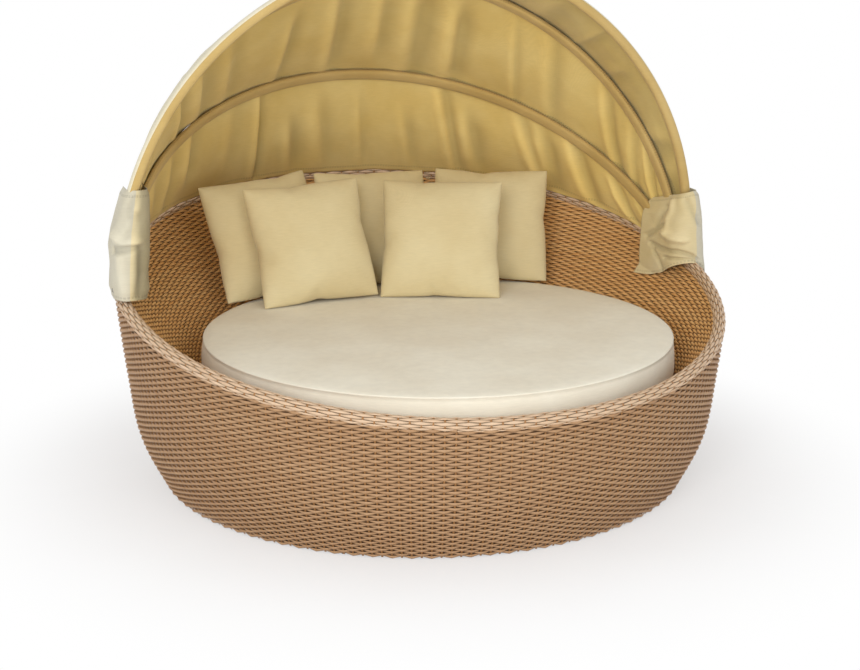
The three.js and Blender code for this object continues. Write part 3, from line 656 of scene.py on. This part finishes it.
def mattressProfile():
    side, top = mattress["radius"] - mattress["bulge"], mattress["thickness"] - mattress["crown"]
    line = [(side * share, 0.0) for share in mattress["underside"]]
    line += [(side + out, up) for out, up in mattress["lowerEdge"]]
    low, rows, rings = line[-1][1], mattress["sideRows"], mattress["topRings"]
    for i in range(1, rows):
        swell = sin(pi * i / rows) ** 0.8
        line.append((side + mattress["bulge"] * swell, low + (mattress["thickness"] - 2 * low) * i / rows))
    line += [(side + out, top + up) for out, up in mattress["upperEdge"]]
    for i in range(1, rings):
        reach = (side - mattress["topInset"]) * (1 - i / rings)
        line.append((reach, top + mattress["crown"] * (1 - (reach / side) ** 6)))
    return line


def mattressPucker(turn, share, phases):
    high, middle, broad = (size * sin(waves * turn + phase + climb * share)
                           for (size, waves, climb), phase in zip(mattress["puckers"], phases))
    return high + middle + broad * sin(2.4 * share)


def addMattress():
    steps, line = mattress["steps"], mattressProfile()
    phases = np.random.default_rng(5).uniform(0, fullTurn, 6)
    centre = Vector((0, -mattress["forward"], mattress["bottom"]))
    points = []
    for i in range(steps):
        turn = fullTurn * i / steps
        for radius, height in line:
            share = height / mattress["thickness"]
            onSide = sin(pi * between(0, share, 1)) if radius > mattress["sideFrom"] else 0
            spot = ringPoint(radius + onSide * mattressPucker(turn, share, phases), turn, height)
            if share > 0.9 and radius < mattress["softTo"]:
                fade = float(smoothStep((mattress["softTo"] - radius) / 0.1))
                scale = mattress["softScale"]
                spot.z += mattress["soft"] * noiseAt(spot.x * scale, spot.y * scale, 1.7) * fade
            points.append(centre + spot)
    low, high, rows = len(points), len(points) + 1, len(line)
    points += [centre.copy(), centre + Vector((0, 0, mattress["thickness"]))]
    faces = gridFaces(steps, rows, closeColumns=True)
    for i in range(steps):
        j = (i + 1) % steps
        faces.append((i * rows, low, j * rows))
        faces.append((i * rows + rows - 1, j * rows + rows - 1, high))
    made = meshObject("mattress_pad", points, faces, mattressCloth)
    enter(made, "mattress_cover", "mattress")


addMattress()
print("mattress made")


# pillows: two square panels sewn round the edge; their form is in part a cloth simulation's, in part computed
pillow = {"size": 0.386, "thickness": 0.132, "cells": 40, "frames": 26, "lean": 22, "rest": 0.4481,
          "sink": 0.004, "cutBulge": 0.085, "cut": 1.04, "pucker": 0.0030, "puckerReach": 0.05, "calmPasses": 3,
          "pullIn": 0.035, "loose": 0.3, "crown": 2.6, "ripple": 75, "squeeze": 0.03, "least": 0.02,
          "roundness": 0.02, "unevenness": 0.0015, "uneven": 22}
stuffing = {"quality": 6, "mass": 0.25, "tension_stiffness": 20, "compression_stiffness": 12, 
            "shear_stiffness": 6, "bending_stiffness": 4.0, "air_damping": 4, "use_pressure": True,
            "uniform_pressure_force": 4.5}
pillowPlaces = {
    "pillow_front_left": {"x": -0.047, "y": 0.278, "yaw": 3.6, "roll": -2.5, "reach": -1, "seed": 2},
    "pillow_front_right": {"x": -0.041, "y": 0.278, "yaw": -22.7, "roll": 0.5, "reach": 1, "seed": 3},
    "pillow_back_centre": {"x": 0.0215, "y": 0.437, "yaw": 0, "roll": 1.5, "reach": 0, "seed": 5},
    "pillow_back_left": {"x": -0.150, "y": 0.437, "yaw": 12, "roll": -4, "reach": -1, "seed": 7},
    "pillow_back_right": {"x": 0.195, "y": 0.430, "yaw": -20, "roll": 1, "reach": 1, "seed": 11}}


def pillowEnvelope(name, seed):
    cells, size, bulge = pillow["cells"], pillow["size"] * pillow["cut"], pillow["cutBulge"]
    offset = Vector(np.random.default_rng(seed).uniform(0, 50, 3))
    points, plan, index = [], [], {}
    for side in (1, -1):
        for i in range(cells + 1):
            for j in range(cells + 1):
                if side == -1 and (i in (0, cells) or j in (0, cells)):
                    index[(side, i, j)] = index[(1, i, j)]
                    continue
                a, b = 2 * i / cells - 1, 2 * j / cells - 1
                swell = sqrt(max((1 - a * a) * (1 - b * b), 0))
                x, z = a * size / 2 * (1 + bulge * (1 - b * b)), b * size / 2 * (1 + bulge * (1 - a * a))
                rough = noise.noise(Vector((x * pillow["uneven"], z * pillow["uneven"], side)) + offset)
                y = -side * (pillow["roundness"] * swell + pillow["unevenness"] * rough)
                index[(side, i, j)] = len(points)
                points.append((x, y, z))
                plan.append((a, b, side))
    faces = []
    for side in (1, -1):
        for i in range(cells):
            for j in range(cells):
                corners = ((i, j), (i + 1, j), (i + 1, j + 1), (i, j + 1))
                faces.append([index[(side, *corner)] for corner in corners][::side])
    return meshObject(name, points, faces, pillowCloth), np.array(plan)


# the form that stuffing gives a square cover: crowned, with sides that pull in between the corners
def stuffedForm(plan):
    a, b, side = plan.T
    half, pull, crown = pillow["size"] / 2, pillow["pullIn"], pillow["crown"]
    swell = np.sqrt((1 - np.abs(a) ** crown) * (1 - np.abs(b) ** crown))
    return np.stack((a * half * (1 - pull * (1 - b * b)), -side * swell * pillow["thickness"] / 2,
                     b * half * (1 - pull * (1 - a * a))), 1)


def inflate(made):
    cloth = made.modifiers.new("stuffing", "CLOTH")
    for name, value in stuffing.items():
        setattr(cloth.settings, name, value)
    cloth.settings.effector_weights.gravity = 0
    cloth.collision_settings.use_collision = False
    cloth.point_cache.frame_start = 1
    cloth.point_cache.frame_end = pillow["frames"]
    for frameNumber in range(1, pillow["frames"] + 1):
        scene.frame_set(frameNumber)
    bakeModifiers(made)
    scene.frame_set(1)


def turned(points, first, second, degrees):
    made, across, along = points.copy(), points[:, first], points[:, second]
    made[:, first] = across * cos(radians(degrees)) - along * sin(radians(degrees))
    made[:, second] = across * sin(radians(degrees)) + along * cos(radians(degrees))
    return made


def addPillow(name, spot):
    made, plan = pillowEnvelope(name + "_cover", spot["seed"])
    inflate(made)
    calm = made.modifiers.new("calm", "SMOOTH")
    calm.factor = 0.5
    calm.iterations = pillow["calmPasses"]
    bakeModifiers(made)
    points = meshPoints(made.data)
    points -= (points.max(0) + points.min(0)) / 2
    size = pillow["size"]
    span = points.max(0) - points.min(0)
    points *= (size / span[0], pillow["thickness"] / span[1], size / span[2])
    points = points * pillow["loose"] + stuffedForm(plan) * (1 - pillow["loose"])
    for i, (a, b, side) in enumerate(plan):
        near = 1 - (1 - max(abs(a), abs(b))) * size / 2 / pillow["puckerReach"]
        if 0 < near < 1:
            along = (b if abs(a) > abs(b) else a) * size / 2
            ripple = noiseAt(along * pillow["ripple"], spot["seed"] * 3 + (a > b), side)
            points[i, 1] -= side * pillow["pucker"] * ripple * sin(pi * near)
    points = turned(points, 2, 0, spot["roll"]) + (spot["reach"] * size / 2, 0, size / 2)
    points = turned(points, 2, 1, pillow["lean"])
    z = points[:, 2] - points[:, 2].min() - pillow["sink"]
    squeeze = np.clip(z + pillow["sink"], 0, pillow["squeeze"]) / pillow["squeeze"]
    points[:, 2] = pillow["rest"] + np.where(z < pillow["least"], pillow["least"] * squeeze ** 1.5, z)
    points = turned(points, 0, 1, spot["yaw"]) + (spot["x"], spot["y"], 0)
    made.data.vertices.foreach_set("co", points.ravel())
    made.data.update()
    smooth = made.modifiers.new("smooth", "SUBSURF")
    smooth.levels = smooth.render_levels = 1
    bakeModifiers(made)
    made.data.shade_smooth()
    enter(made, "pillow_cover", name)


for name, spot in pillowPlaces.items():
    addPillow(name, spot)
print("pillows stuffed")


# canopy: three cloth panels between the hem and hoops that are half circles about one pivot axis
hoops = {"rear": {"radius": 0.848, "tilt": 53.1}, "mid": {"radius": 0.870, "tilt": 18.5},
         "front": {"radius": 0.892, "tilt": -4.9}}
canopy = {"lift": 0.0125, "panelStart": 6, "columns": 320, "rows": 28, "cloth": 0.0016,
          "hemInset": 0.026, "hemLift": 0.016, "hemStart": 5, "sag": 0.012, "scallop": 0.004, "slack": 0.0022,
          "hollow": 0.010}
# each panel: its edges' hoops, the folds that run down it, its painted shade, its cut and the sleeves sewn to it
panels = {
    "front": {"hoops": ("front", "mid"),
              "folds": {"seed": 21, "count": 14, "width": 0.013, "depth": 0.010, "lean": 0.02},
              "shade": 1.2, "flat": (2.70, 0.38), "area": 0.68, "with": ("front", "mid")},
    "mid": {"hoops": ("mid", "rear"),
            "folds": {"seed": 22, "count": 17, "width": 0.011, "depth": 0.013, "lean": 0.14},
            "shade": 0.3, "flat": (2.64, 0.55), "area": 0.94, "with": ("rear",)},
    "rear": {"hoops": ("rear", None),
             "folds": {"seed": 23, "count": 20, "width": 0.011, "depth": 0.013, "lean": 0.10},
             "shade": 0, "flat": (2.58, 0.52), "area": 0.77, "with": ()}}


def hoopPoint(hoop, angle, outward=0.0, sideways=0.0):
    tilt = radians(hoop["tilt"])
    reach = hoop["radius"] + outward
    return Vector((reach * cos(angle),
                   reach * sin(angle) * sin(tilt) + sideways * cos(tilt),
                   pivotHeight + reach * sin(angle) * cos(tilt) - sideways * sin(tilt)))


def arcAngle(u, start):
    return radians(start) + (pi - 2 * radians(start)) * u


def hoopEdge(hoop):
    return lambda u: hoopPoint(hoop, arcAngle(u, canopy["panelStart"]), canopy["lift"])


def hemEdge(u):
    turn = pi / 2 + arcAngle(u, canopy["hemStart"])
    height = float(rimHeight(turn))
    radius = float(wallMiddle(height)) - canopy["hemInset"]
    drop = canopy["scallop"] * abs(sin(9 * pi * u)) * sin(pi * u)
    return Vector((radius * sin(turn), -radius * cos(turn), height + canopy["hemLift"] - drop))


# a fold runs down the panel: place on its upper and lower edge, width, depth, where it starts and ends, and
# how sharp it is; the lower edge leans to the right, where u is 0
def foldSet(seed, count, width, depth, lean):
    rng = np.random.default_rng(seed)
    folds = []
    for i in range(count):
        place = (i + 0.5 + rng.uniform(-0.35, 0.35)) / count
        toRight = lean * (place - 0.5) - lean * 0.25 + rng.uniform(-0.02, 0.02)
        folds.append((place, place + toRight, width * rng.uniform(0.6, 1.6), depth * rng.uniform(0.35, 1.25),
                      rng.uniform(-0.35, 0.3), rng.uniform(0.8, 1.5), rng.uniform(0.4, 1.0)))
    return folds


def foldDepth(folds, u, v):
    total = 0.0
    for upper, lower, width, depth, start, end, sharp in folds:
        d = (u - (upper + (lower - upper) * v)) / width
        if abs(d) < 3.5:
            fade = between(0, (v - start) / 0.3, 1) * between(0, (end - v) / 0.3, 1)
            ridge = exp(-d * d) if d < 0 else exp(-(d / sharp) ** 2)
            total += depth * fade * (ridge - 0.7 * exp(-(d - 1.0) ** 2 * 1.8))
    return total


def hemTilt(points):
    turn = np.arctan2(points[:, 0], -points[:, 1])
    height = rimHeight(turn)
    radius = wallMiddle(height) - canopy["hemInset"]
    return np.degrees(np.arctan2(-radius * np.cos(turn), height + canopy["hemLift"] - pivotHeight))


# cloth on a grid: each column yields points, their distance from the hem, their way along it and their painted
# shade
def clothGrid(name, columns, rows, column, cloths, flip):
    points, hems, runs, paintedShades = zip(*(row for i in range(columns + 1) for row in column(i / columns)))
    made = meshObject(name, points, gridFaces(columns + 1, rows, flip=flip), *cloths)
    pointAttributes(made, "FLOAT", hemDistance=hems, hemRun=runs, foldHollow=paintedShades)
    return made


def panelColumn(upper, lower, folds, length, shade, u):
    a, b, rows, slack = upper(u), lower(u), canopy["rows"], canopy["slack"]
    long = (a - b).length
    for j in range(rows + 1):
        v = (1 - cos(pi * j / rows)) / 2 * 0.6 + 0.4 * j / rows
        fold = foldDepth(folds, u, v) * sin(pi * v) ** 0.4
        push = -canopy["sag"] * sin(pi * v) + fold
        push += slack * noiseAt(u * 38, v * 3, 4.2) * min(long / 0.1, 1)
        push += 0.7 * slack * noiseAt(u * 16 + v * 3, v * 6, 9.1)
        point = a.lerp(b, v)
        outward = Vector((point.x, point.y, point.z - pivotHeight + 0.12)).normalized()
        # the last value is painted shade: darker in the fold valleys, and over the whole panel by the panel's
        # shade
        yield (point + outward * push * min(long / 0.15, 1), min(v, 1 - v) * long, u * length,
               between(-0.7, fold / canopy["hollow"], 1) + shade)


def addPanel(name, *shape):
    made = clothGrid(name, canopy["columns"], canopy["rows"] + 1, partial(panelColumn, *shape),
                     (canopyOutside, canopyInside), True)
    thicken(made, canopy["cloth"], 1, 1)
    return made


def bendPanel(made, upperBody, lowerBody, upperTilt, lowerTilt):
    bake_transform(made)
    points = meshPoints(made.data)
    lowest = hemTilt(points) if lowerTilt is None else lowerTilt


# sleeves: cloth sewn round each hoop; their sections are pairs of sideways and outward millimetres
def bothSides(half, middle):
    return (*((-side, out) for side, out in half), middle, *half[::-1])


sleeves = {"start": 6, "columns": 460, "gather": 0.0018, "cloth": 0.0011, "gatherReach": 0.42,
           "rear": bothSides(((17, 3.5), (17.2, -3), (16, -8.6), (12.5, -11.2), (6, -11.8)), (0, -12)),
           "mid": bothSides(((17.5, 3.5), (18.2, -3), (17, -8.6), (13.5, -11.2), (6, -11.8)), (0, -12)),
           "front": ((17, 12.5), (10, 15.4), (2, 15.6), (-5, 14.5), (-11, 11), (-14, 4), (-14, -3), (-11.5, -9),
                     (-6, -12), (1, -12.4), (8, -12), (13.5, -9.5), (16.5, -3), (17, 5.0)),
           "paleSteps": 4, "phase": 3.7, "hemGap": 0.0145}


def sleeveColumn(hoop, section, far, phase, u):
    angle, run = arcAngle(u, sleeves["start"]), u * pi * hoop["radius"]
    ends = 0.5 + 2.6 * exp(-(run / sleeves["gatherReach"]) ** 2)
    for (side, out), along in zip(section, far):
        inner = sin(pi * along / far[-1])
        wave = noiseAt(run * 50 + along * 45, along * 12, phase)
        wave += 0.6 * noiseAt(run * 120 - along * 90, along * 25, phase + 9)
        push = 1 - sleeves["gather"] * ends * wave * inner * 5
        wide = 1 + 0.05 * wave * ends * inner
        yield (hoopPoint(hoop, angle, out / 1000 * push, side / 1000 * wide),
               min(along, far[-1] - along) + sleeves["hemGap"], run, 0)


def addSleeve(which, phase):
    section, far = sleeves[which], [0.0]
    for before, after in zip(section, section[1:]):
        far.append(far[-1] + hypot(after[0] - before[0], after[1] - before[1]) / 1000)
    cloths = (shadedSleeveCloth, canopyOutside) if which == "front" else (shadedSleeveCloth,)
    made = clothGrid(f"{which}_hoop_sleeve", sleeves["columns"], len(section),
                     partial(sleeveColumn, hoops[which], section, far, phase), cloths, which != "front")
    if which == "front":
        for face in made.data.polygons:
            face.material_index = int(face.index % (len(section) - 1) < sleeves["paleSteps"])
    thicken(made, sleeves["cloth"])
    enter(made, "canopy_cloth", body=f"{which}_hoop")
    return made


sleevesMade = {which: addSleeve(which, sleeves["phase"] * i) for i, which in enumerate(hoops)}
for name, panel in panels.items():
    upper, lower = panel["hoops"]
    edges = (hoopEdge(hoops[upper]), hoopEdge(hoops[lower]) if lower else hemEdge)
    bodies = (f"{upper}_hoop", f"{lower}_hoop" if lower else "basket")
    folds = foldSet(**panel["folds"])
    cloth = addPanel(f"{name}_canopy_cloth", *edges, folds, panel["flat"][0], panel["shade"])
    bendPanel(cloth, *bodies, hoops[upper]["tilt"], hoops[lower]["tilt"] if lower else None)
    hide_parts(f"{name}_canopy_panel")
    [sleevesMade[hoop] for hoop in panel["with"]]
    print(name, "panel area", round(sum(p.area for p in cloth.data.polygons) / 2, 4))
print("canopy spread")


# corner flaps: cloth wrapped round the hoop ends, from the inside of the wall round the front to the outside; u
# runs from the inner to the outer back edge and v from the top down. Rows: height as a share of the rise, then
# shares of the reach by which the inner side, the outer side, the front and the back edge stand out there
flap = {"reach": 0.060, "edge": 0.031, "hoop": 0.8703, "cloth": 0.0016, "columns": 130, "rows": 96,
        "bend": 0.35, "frontPower": 4, "slack": 0.0026, "hemFar": 0.37, "wallGap": 0.0065,
        "hollow": 0.008, "foldDepth": 1.6, "loose": 0.005, "deepest": -0.004, "outsideFrom": 0.52}
flapSides = {
    "right": {"flat": (0.46, 0.32), "area": 0.115, "noise": 2.0, "shade": 0, "rise": 0.180, "drop": 0.130,
              "outerDrop": 0.105, "frontLift": 0.016,
              "top": ((0, -0.045), (0.25, -0.020), (0.5, -0.002), (1, 0)),
              "bottom": ((0, 0), (0.2, 0.004), (0.35, -0.010), (0.5, -0.018), (0.58, -0.036), (0.65, -0.052),
                         (0.75, -0.04), (1, 0)),
              "rows": ((1, -0.25, 0.1, 0.75, 1.6), (0.62, -0.02, 0.3, 1.15, 2.3), (0.5, 0.16, 0.36, 1.2, 2.3),
                       (0.15, 0.25, 0.42, 1.25, 2.3), (-0.1, 0.28, 0.5, 1.3, 2.3), (-0.6, 0.3, 0.72, 1.5, 2.3))},
    # the left flap's shade is painted shade that darkens its inner part, which hangs in shade
    "left": {"flat": (0.43, 0.33), "area": 0.115, "noise": 6.0, "shade": 2.4, "rise": 0.280, "drop": 0.048,
             "outerDrop": 0.046, "frontLift": 0.016, "top": ((0, 0), (1, 0)), "bottom": ((0, 0), (1, 0)),
             "rows": ((1, 0.5, -0.6, 0.7, 1.5), (0.6, 0.45, -0.02, 1, 1.8), (0.42, 0.4, 0.1, 1.05, 2.1),
                      (0.2, 0.3, 0.12, 0.85, 2.2), (0, 0.3, 0.16, 0.8, 2.2), (-0.07, 0.22, 0.12, 0.75, 2.2))}}
rimAtPivot = float(rimHeight(pi / 2))
# each crease is a path of places on the flap, then its width and its depth, outwards where positive
flapCreases = {
    "right": (((0.07, 0.50), (0.18, 0.42), (0.24, 0.40), 0.030, -0.010),
              ((0.30, 0.08), (0.31, 0.38), (0.32, 0.50), 0.035, 0.006),
              ((0.22, 0.15), (0.20, 0.28), (0.16, 0.38), 0.030, -0.006),
              ((0.45, 0.10), (0.50, 0.28), (0.55, 0.42), 0.030, -0.006),
              ((0.26, 0.46), (0.34, 0.56), (0.44, 0.66), 0.035, 0.008),
              ((0.12, 0.60), (0.30, 0.72), (0.42, 0.82), (0.52, 0.92), 0.020, -0.010),
              ((0.15, 0.68), (0.22, 0.82), (0.27, 0.97), 0.018, -0.008),
              ((0.30, 0.82), (0.42, 0.92), (0.56, 0.98), 0.016, -0.006)),
    "left": (((0.66, 0.54), (0.57, 0.52), (0.49, 0.50), 0.024, -0.013),
             ((0.64, 0.40), (0.56, 0.44), (0.50, 0.46), 0.040, 0.008),
             ((0.52, 0.04), (0.56, 0.16), (0.54, 0.22), 0.030, -0.006),
             ((0.50, 0.22), (0.52, 0.34), (0.56, 0.42), 0.025, -0.005),
             ((0.58, 0.60), (0.56, 0.80), (0.55, 0.98), 0.030, 0.006),
             ((0.47, 0.55), (0.46, 0.75), (0.48, 0.95), 0.025, -0.006))}


def alongTable(table, place, column=1):
    return float(np.interp(place, [row[0] for row in table], [row[column] for row in table]))


def slopeRadius(turn, height):
    foot, head = slopeEnds(turn)
    return foot[0] + (head[0] - foot[0]) * (height - foot[1]) / (head[1] - foot[1])


def flapPoint(cut, u, v, outward):
    front = sin(pi * u) ** flap["frontPower"]
    drop = cut["drop"] if u < 0.5 else cut["outerDrop"]
    bottom = rimAtPivot + cut["frontLift"] * front + (flap["reach"] - drop) * (1 - front)
    bottom += alongTable(cut["bottom"], u)
    top = pivotHeight + cut["rise"] + alongTable(cut["top"], u)
    height = top + (bottom - top) * v
    share = (height - pivotHeight) / cut["rise"]
    inner, outer, reach, back = (alongTable(cut["rows"][::-1], share, column) for column in (1, 2, 3, 4))
    innerRadius = flap["hoop"] - flap["edge"] - flap["reach"] * inner
    outerRadius = flap["hoop"] + flap["edge"] + flap["reach"] * outer
    bend = (outerRadius - innerRadius) / 2
    centre = bend - flap["reach"] * reach
    backY = flap["reach"] * back
    corner = flap["bend"]
    if u < corner:
        y = backY + (centre - backY) * u / corner
        clear = slopeRadius(pi / 2 + asin(y / innerRadius), height) - flap["wallGap"]
        radius = min(innerRadius, clear) - outward
    elif u > 1 - corner:
        radius, y = outerRadius + outward, backY / 2 + (centre - backY / 2) * (1 - u) / corner
    else:
        angle = pi * (1 + (u - corner) / (1 - 2 * corner))
        radius = (innerRadius + outerRadius) / 2 + (bend + outward) * cos(angle)
        y = centre + (bend + outward) * sin(angle)
    return Vector((sqrt(max(radius * radius - y * y, 0)), y, height))


def pathDistance(path, u, v):
    best = 9.0
    for (ax, ay), (bx, by) in zip(path, path[1:]):
        dx, dy = bx - ax, by - ay
        t = between(0, ((u - ax) * dx + (v - ay) * dy) / (dx * dx + dy * dy), 1)
        best = min(best, hypot(u - ax - dx * t, (v - ay - dy * t) * 0.8))
    return best


def flapColumn(side, u):
    cut, rows = flapSides[side], flap["rows"]
    # painted shade: the inner part, before outsideFrom, is darkened by the side's shade, and the crease valleys
    # are darker
    inShade = cut["shade"] * float(smoothStep((flap["outsideFrom"] - u) / 0.05))
    for j in range(rows + 1):
        v, fold = j / rows, 0.0
        for *path, width, depth in flapCreases[side]:
            fold += depth * exp(-(pathDistance(path, u, v) / width) ** 2)
        push = flap["slack"] * noiseAt(u * 9, v * 5, cut["noise"]) + fold * flap["foldDepth"] + flap["loose"]
        push = max(push, flap["deepest"]) * float(smoothStep(v / 0.06))
        push *= 0.6 + 0.4 * float(smoothStep((1 - v) / 0.1))
        spot = flapPoint(cut, u, v, push)
        yield (spot if side == "right" else Vector((-spot.x, spot.y, spot.z)),
               min(v * flap["hemFar"], (1 - v) * flap["hemFar"] + 0.008), u * cut["flat"][0],
               between(-0.5, -fold / flap["hollow"], 1) + inShade)


def addFlap(side):
    columns, rows, cut = flap["columns"], flap["rows"], flapSides[side]
    made = clothGrid(f"{side}_corner_cloth", columns, rows + 1, partial(flapColumn, side),
                     (flapCloth, flapOutside), side == "left")
    for face in made.data.polygons:
        face.material_index = int(face.index // rows > columns * flap["outsideFrom"])
    thicken(made, flap["cloth"])
    enter(made, "canopy_cloth", f"{side}_corner_flap")
    print(side, "flap area", round(sum(p.area for p in made.data.polygons) / 2, 4))


for side in ("right", "left"):
    addFlap(side)


# ties: pairs of narrow tapes round the rim border that hold the rear hem down, with their tails in front
ties = {"places": (-0.13, 0.09, 0.38), "width": 0.005, "gap": 0.009, "rimRadius": 0.9, "cloth": 0.0014,
        "ring": 0.0212, "tail": 0.006, "fromAngle": 200, "sweep": 300, "turns": 41, "tailSteps": 4,
        "opening": 0.0012, "twist": 0.0012}


def addTie(number, place):
    points, faces = [], []
    for pair in (-1, 1):
        spot, outward, up, tangent = rimFrame(pi - place + pair * ties["gap"] / 2 / ties["rimRadius"])
        path = []
        for i in range(ties["turns"]):
            share = i / (ties["turns"] - 1)
            angle = radians(ties["fromAngle"] + ties["sweep"] * share)
            reach = ties["ring"] + ties["opening"] * share
            path.append(spot + outward * cos(angle) * reach + up * sin(angle) * reach)
        for i in range(ties["tailSteps"]):
            path.append(path[-1] - Vector((0, 0, ties["tail"] / ties["tailSteps"])))
        first = len(points)
        for i, p in enumerate(path):
            twist = ties["twist"] * noiseAt(i * 0.35, place * 9 + pair, 1)
            for k in range(4):
                points.append(p + tangent * ties["width"] * (k / 3 - 0.5) + outward * twist * (k - 1.5) / 2)
        faces += [tuple(first + i for i in face) for face in gridFaces(len(path), 4)]
    made = meshObject(f"hem_strap_{number}", points, faces, flapCloth)
    thicken(made, ties["cloth"])
    enter(made, "canopy_cloth", f"hem_tie_{number}")


for number, place in enumerate(ties["places"], 1):
    addTie(number, place)
print("flaps and ties made")


# the CAD nodes that stay in sight: coated tubes, steel fittings, rubber feet, timber slats and the woven deck
def coatMaterial(name, hexCode, metallic, roughness, grain, relief):
    material, net, shader = newMaterial(name)
    place = net.place()
    speck = net.noise(place, grain, 2.0)[0]
    tone = net.mix(net.noise(place, 9.0, 3.0)[0], rgba(hexCode, 0.86), rgba(hexCode, 1.12))
    net.fill(shader, {"Base Color": tone, "Metallic": metallic,
                        "Roughness": net.range(speck, 0, 1, roughness - 0.08, roughness + 0.1),
                        "Normal": net.bump(speck, relief, 0.0004)})
    return material, net, shader


def slatMaterial():
    material, net, shader = coatMaterial("slatWood", "a9825a", 0.0, 0.62, 160.0, 0.2)
    place = net.vector("MULTIPLY", net.place(), (3, 70, 70))
    grain = net.noise(place, 1.0, 5.0, {"Distortion": 0.6})[0]
    net.fill(shader, {"Base Color": net.mix(grain, rgba("8a6440"), rgba("b98f63"))})
    return material


def deckMaterial():
    material, net, shader = coatMaterial("deckWicker", "6d4c2c", 0.0, 0.6, 200.0, 0.2)
    parts = net.split(net.place())
    waves = [net.math("SINE", net.times(part, fullTurn / pitch))
             for part, pitch in zip(parts, (0.028, 0.0154))]
    # over and under pattern of a weave; its near black tone where the strands go under is painted shade between
    # them
    over = net.range(net.times(*waves), -1.0, 1.0)
    net.fill(shader, {"Base Color": net.mix(over, rgba("3a2512"), rgba("8a6238")),
                        "Normal": net.bump(over, 0.8, 0.002)})
    return material


nodeLooks = (
    (("rim_tube", "base_ring", "wall_rib", "deck_ring", "deck_beam", "centre_leg", "rear_bow", "mid_bow",
      "front_bow", "right_pivot_bracket", "left_pivot_bracket"),
     coatMaterial("tubeCoat", "54402c", 0.35, 0.45, 420.0, 0.35)[0]),
    (("base_glide", "centre_glide"), coatMaterial("glideRubber", "2b2a28", 0.0, 0.75, 300.0, 0.4)[0]),
    (("deck_slat",), slatMaterial()), (("deck_weave",), deckMaterial()),
    (("right_", "left_"), coatMaterial("pivotSteel", "9a9891", 0.9, 0.34, 700.0, 0.2)[0]))

for name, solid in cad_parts.items():
    look = next((material for starts, material in nodeLooks if name.startswith(starts)), None)
    if look:
        for slot in solid.material_slots:
            slot.material = look
print("frame finished")
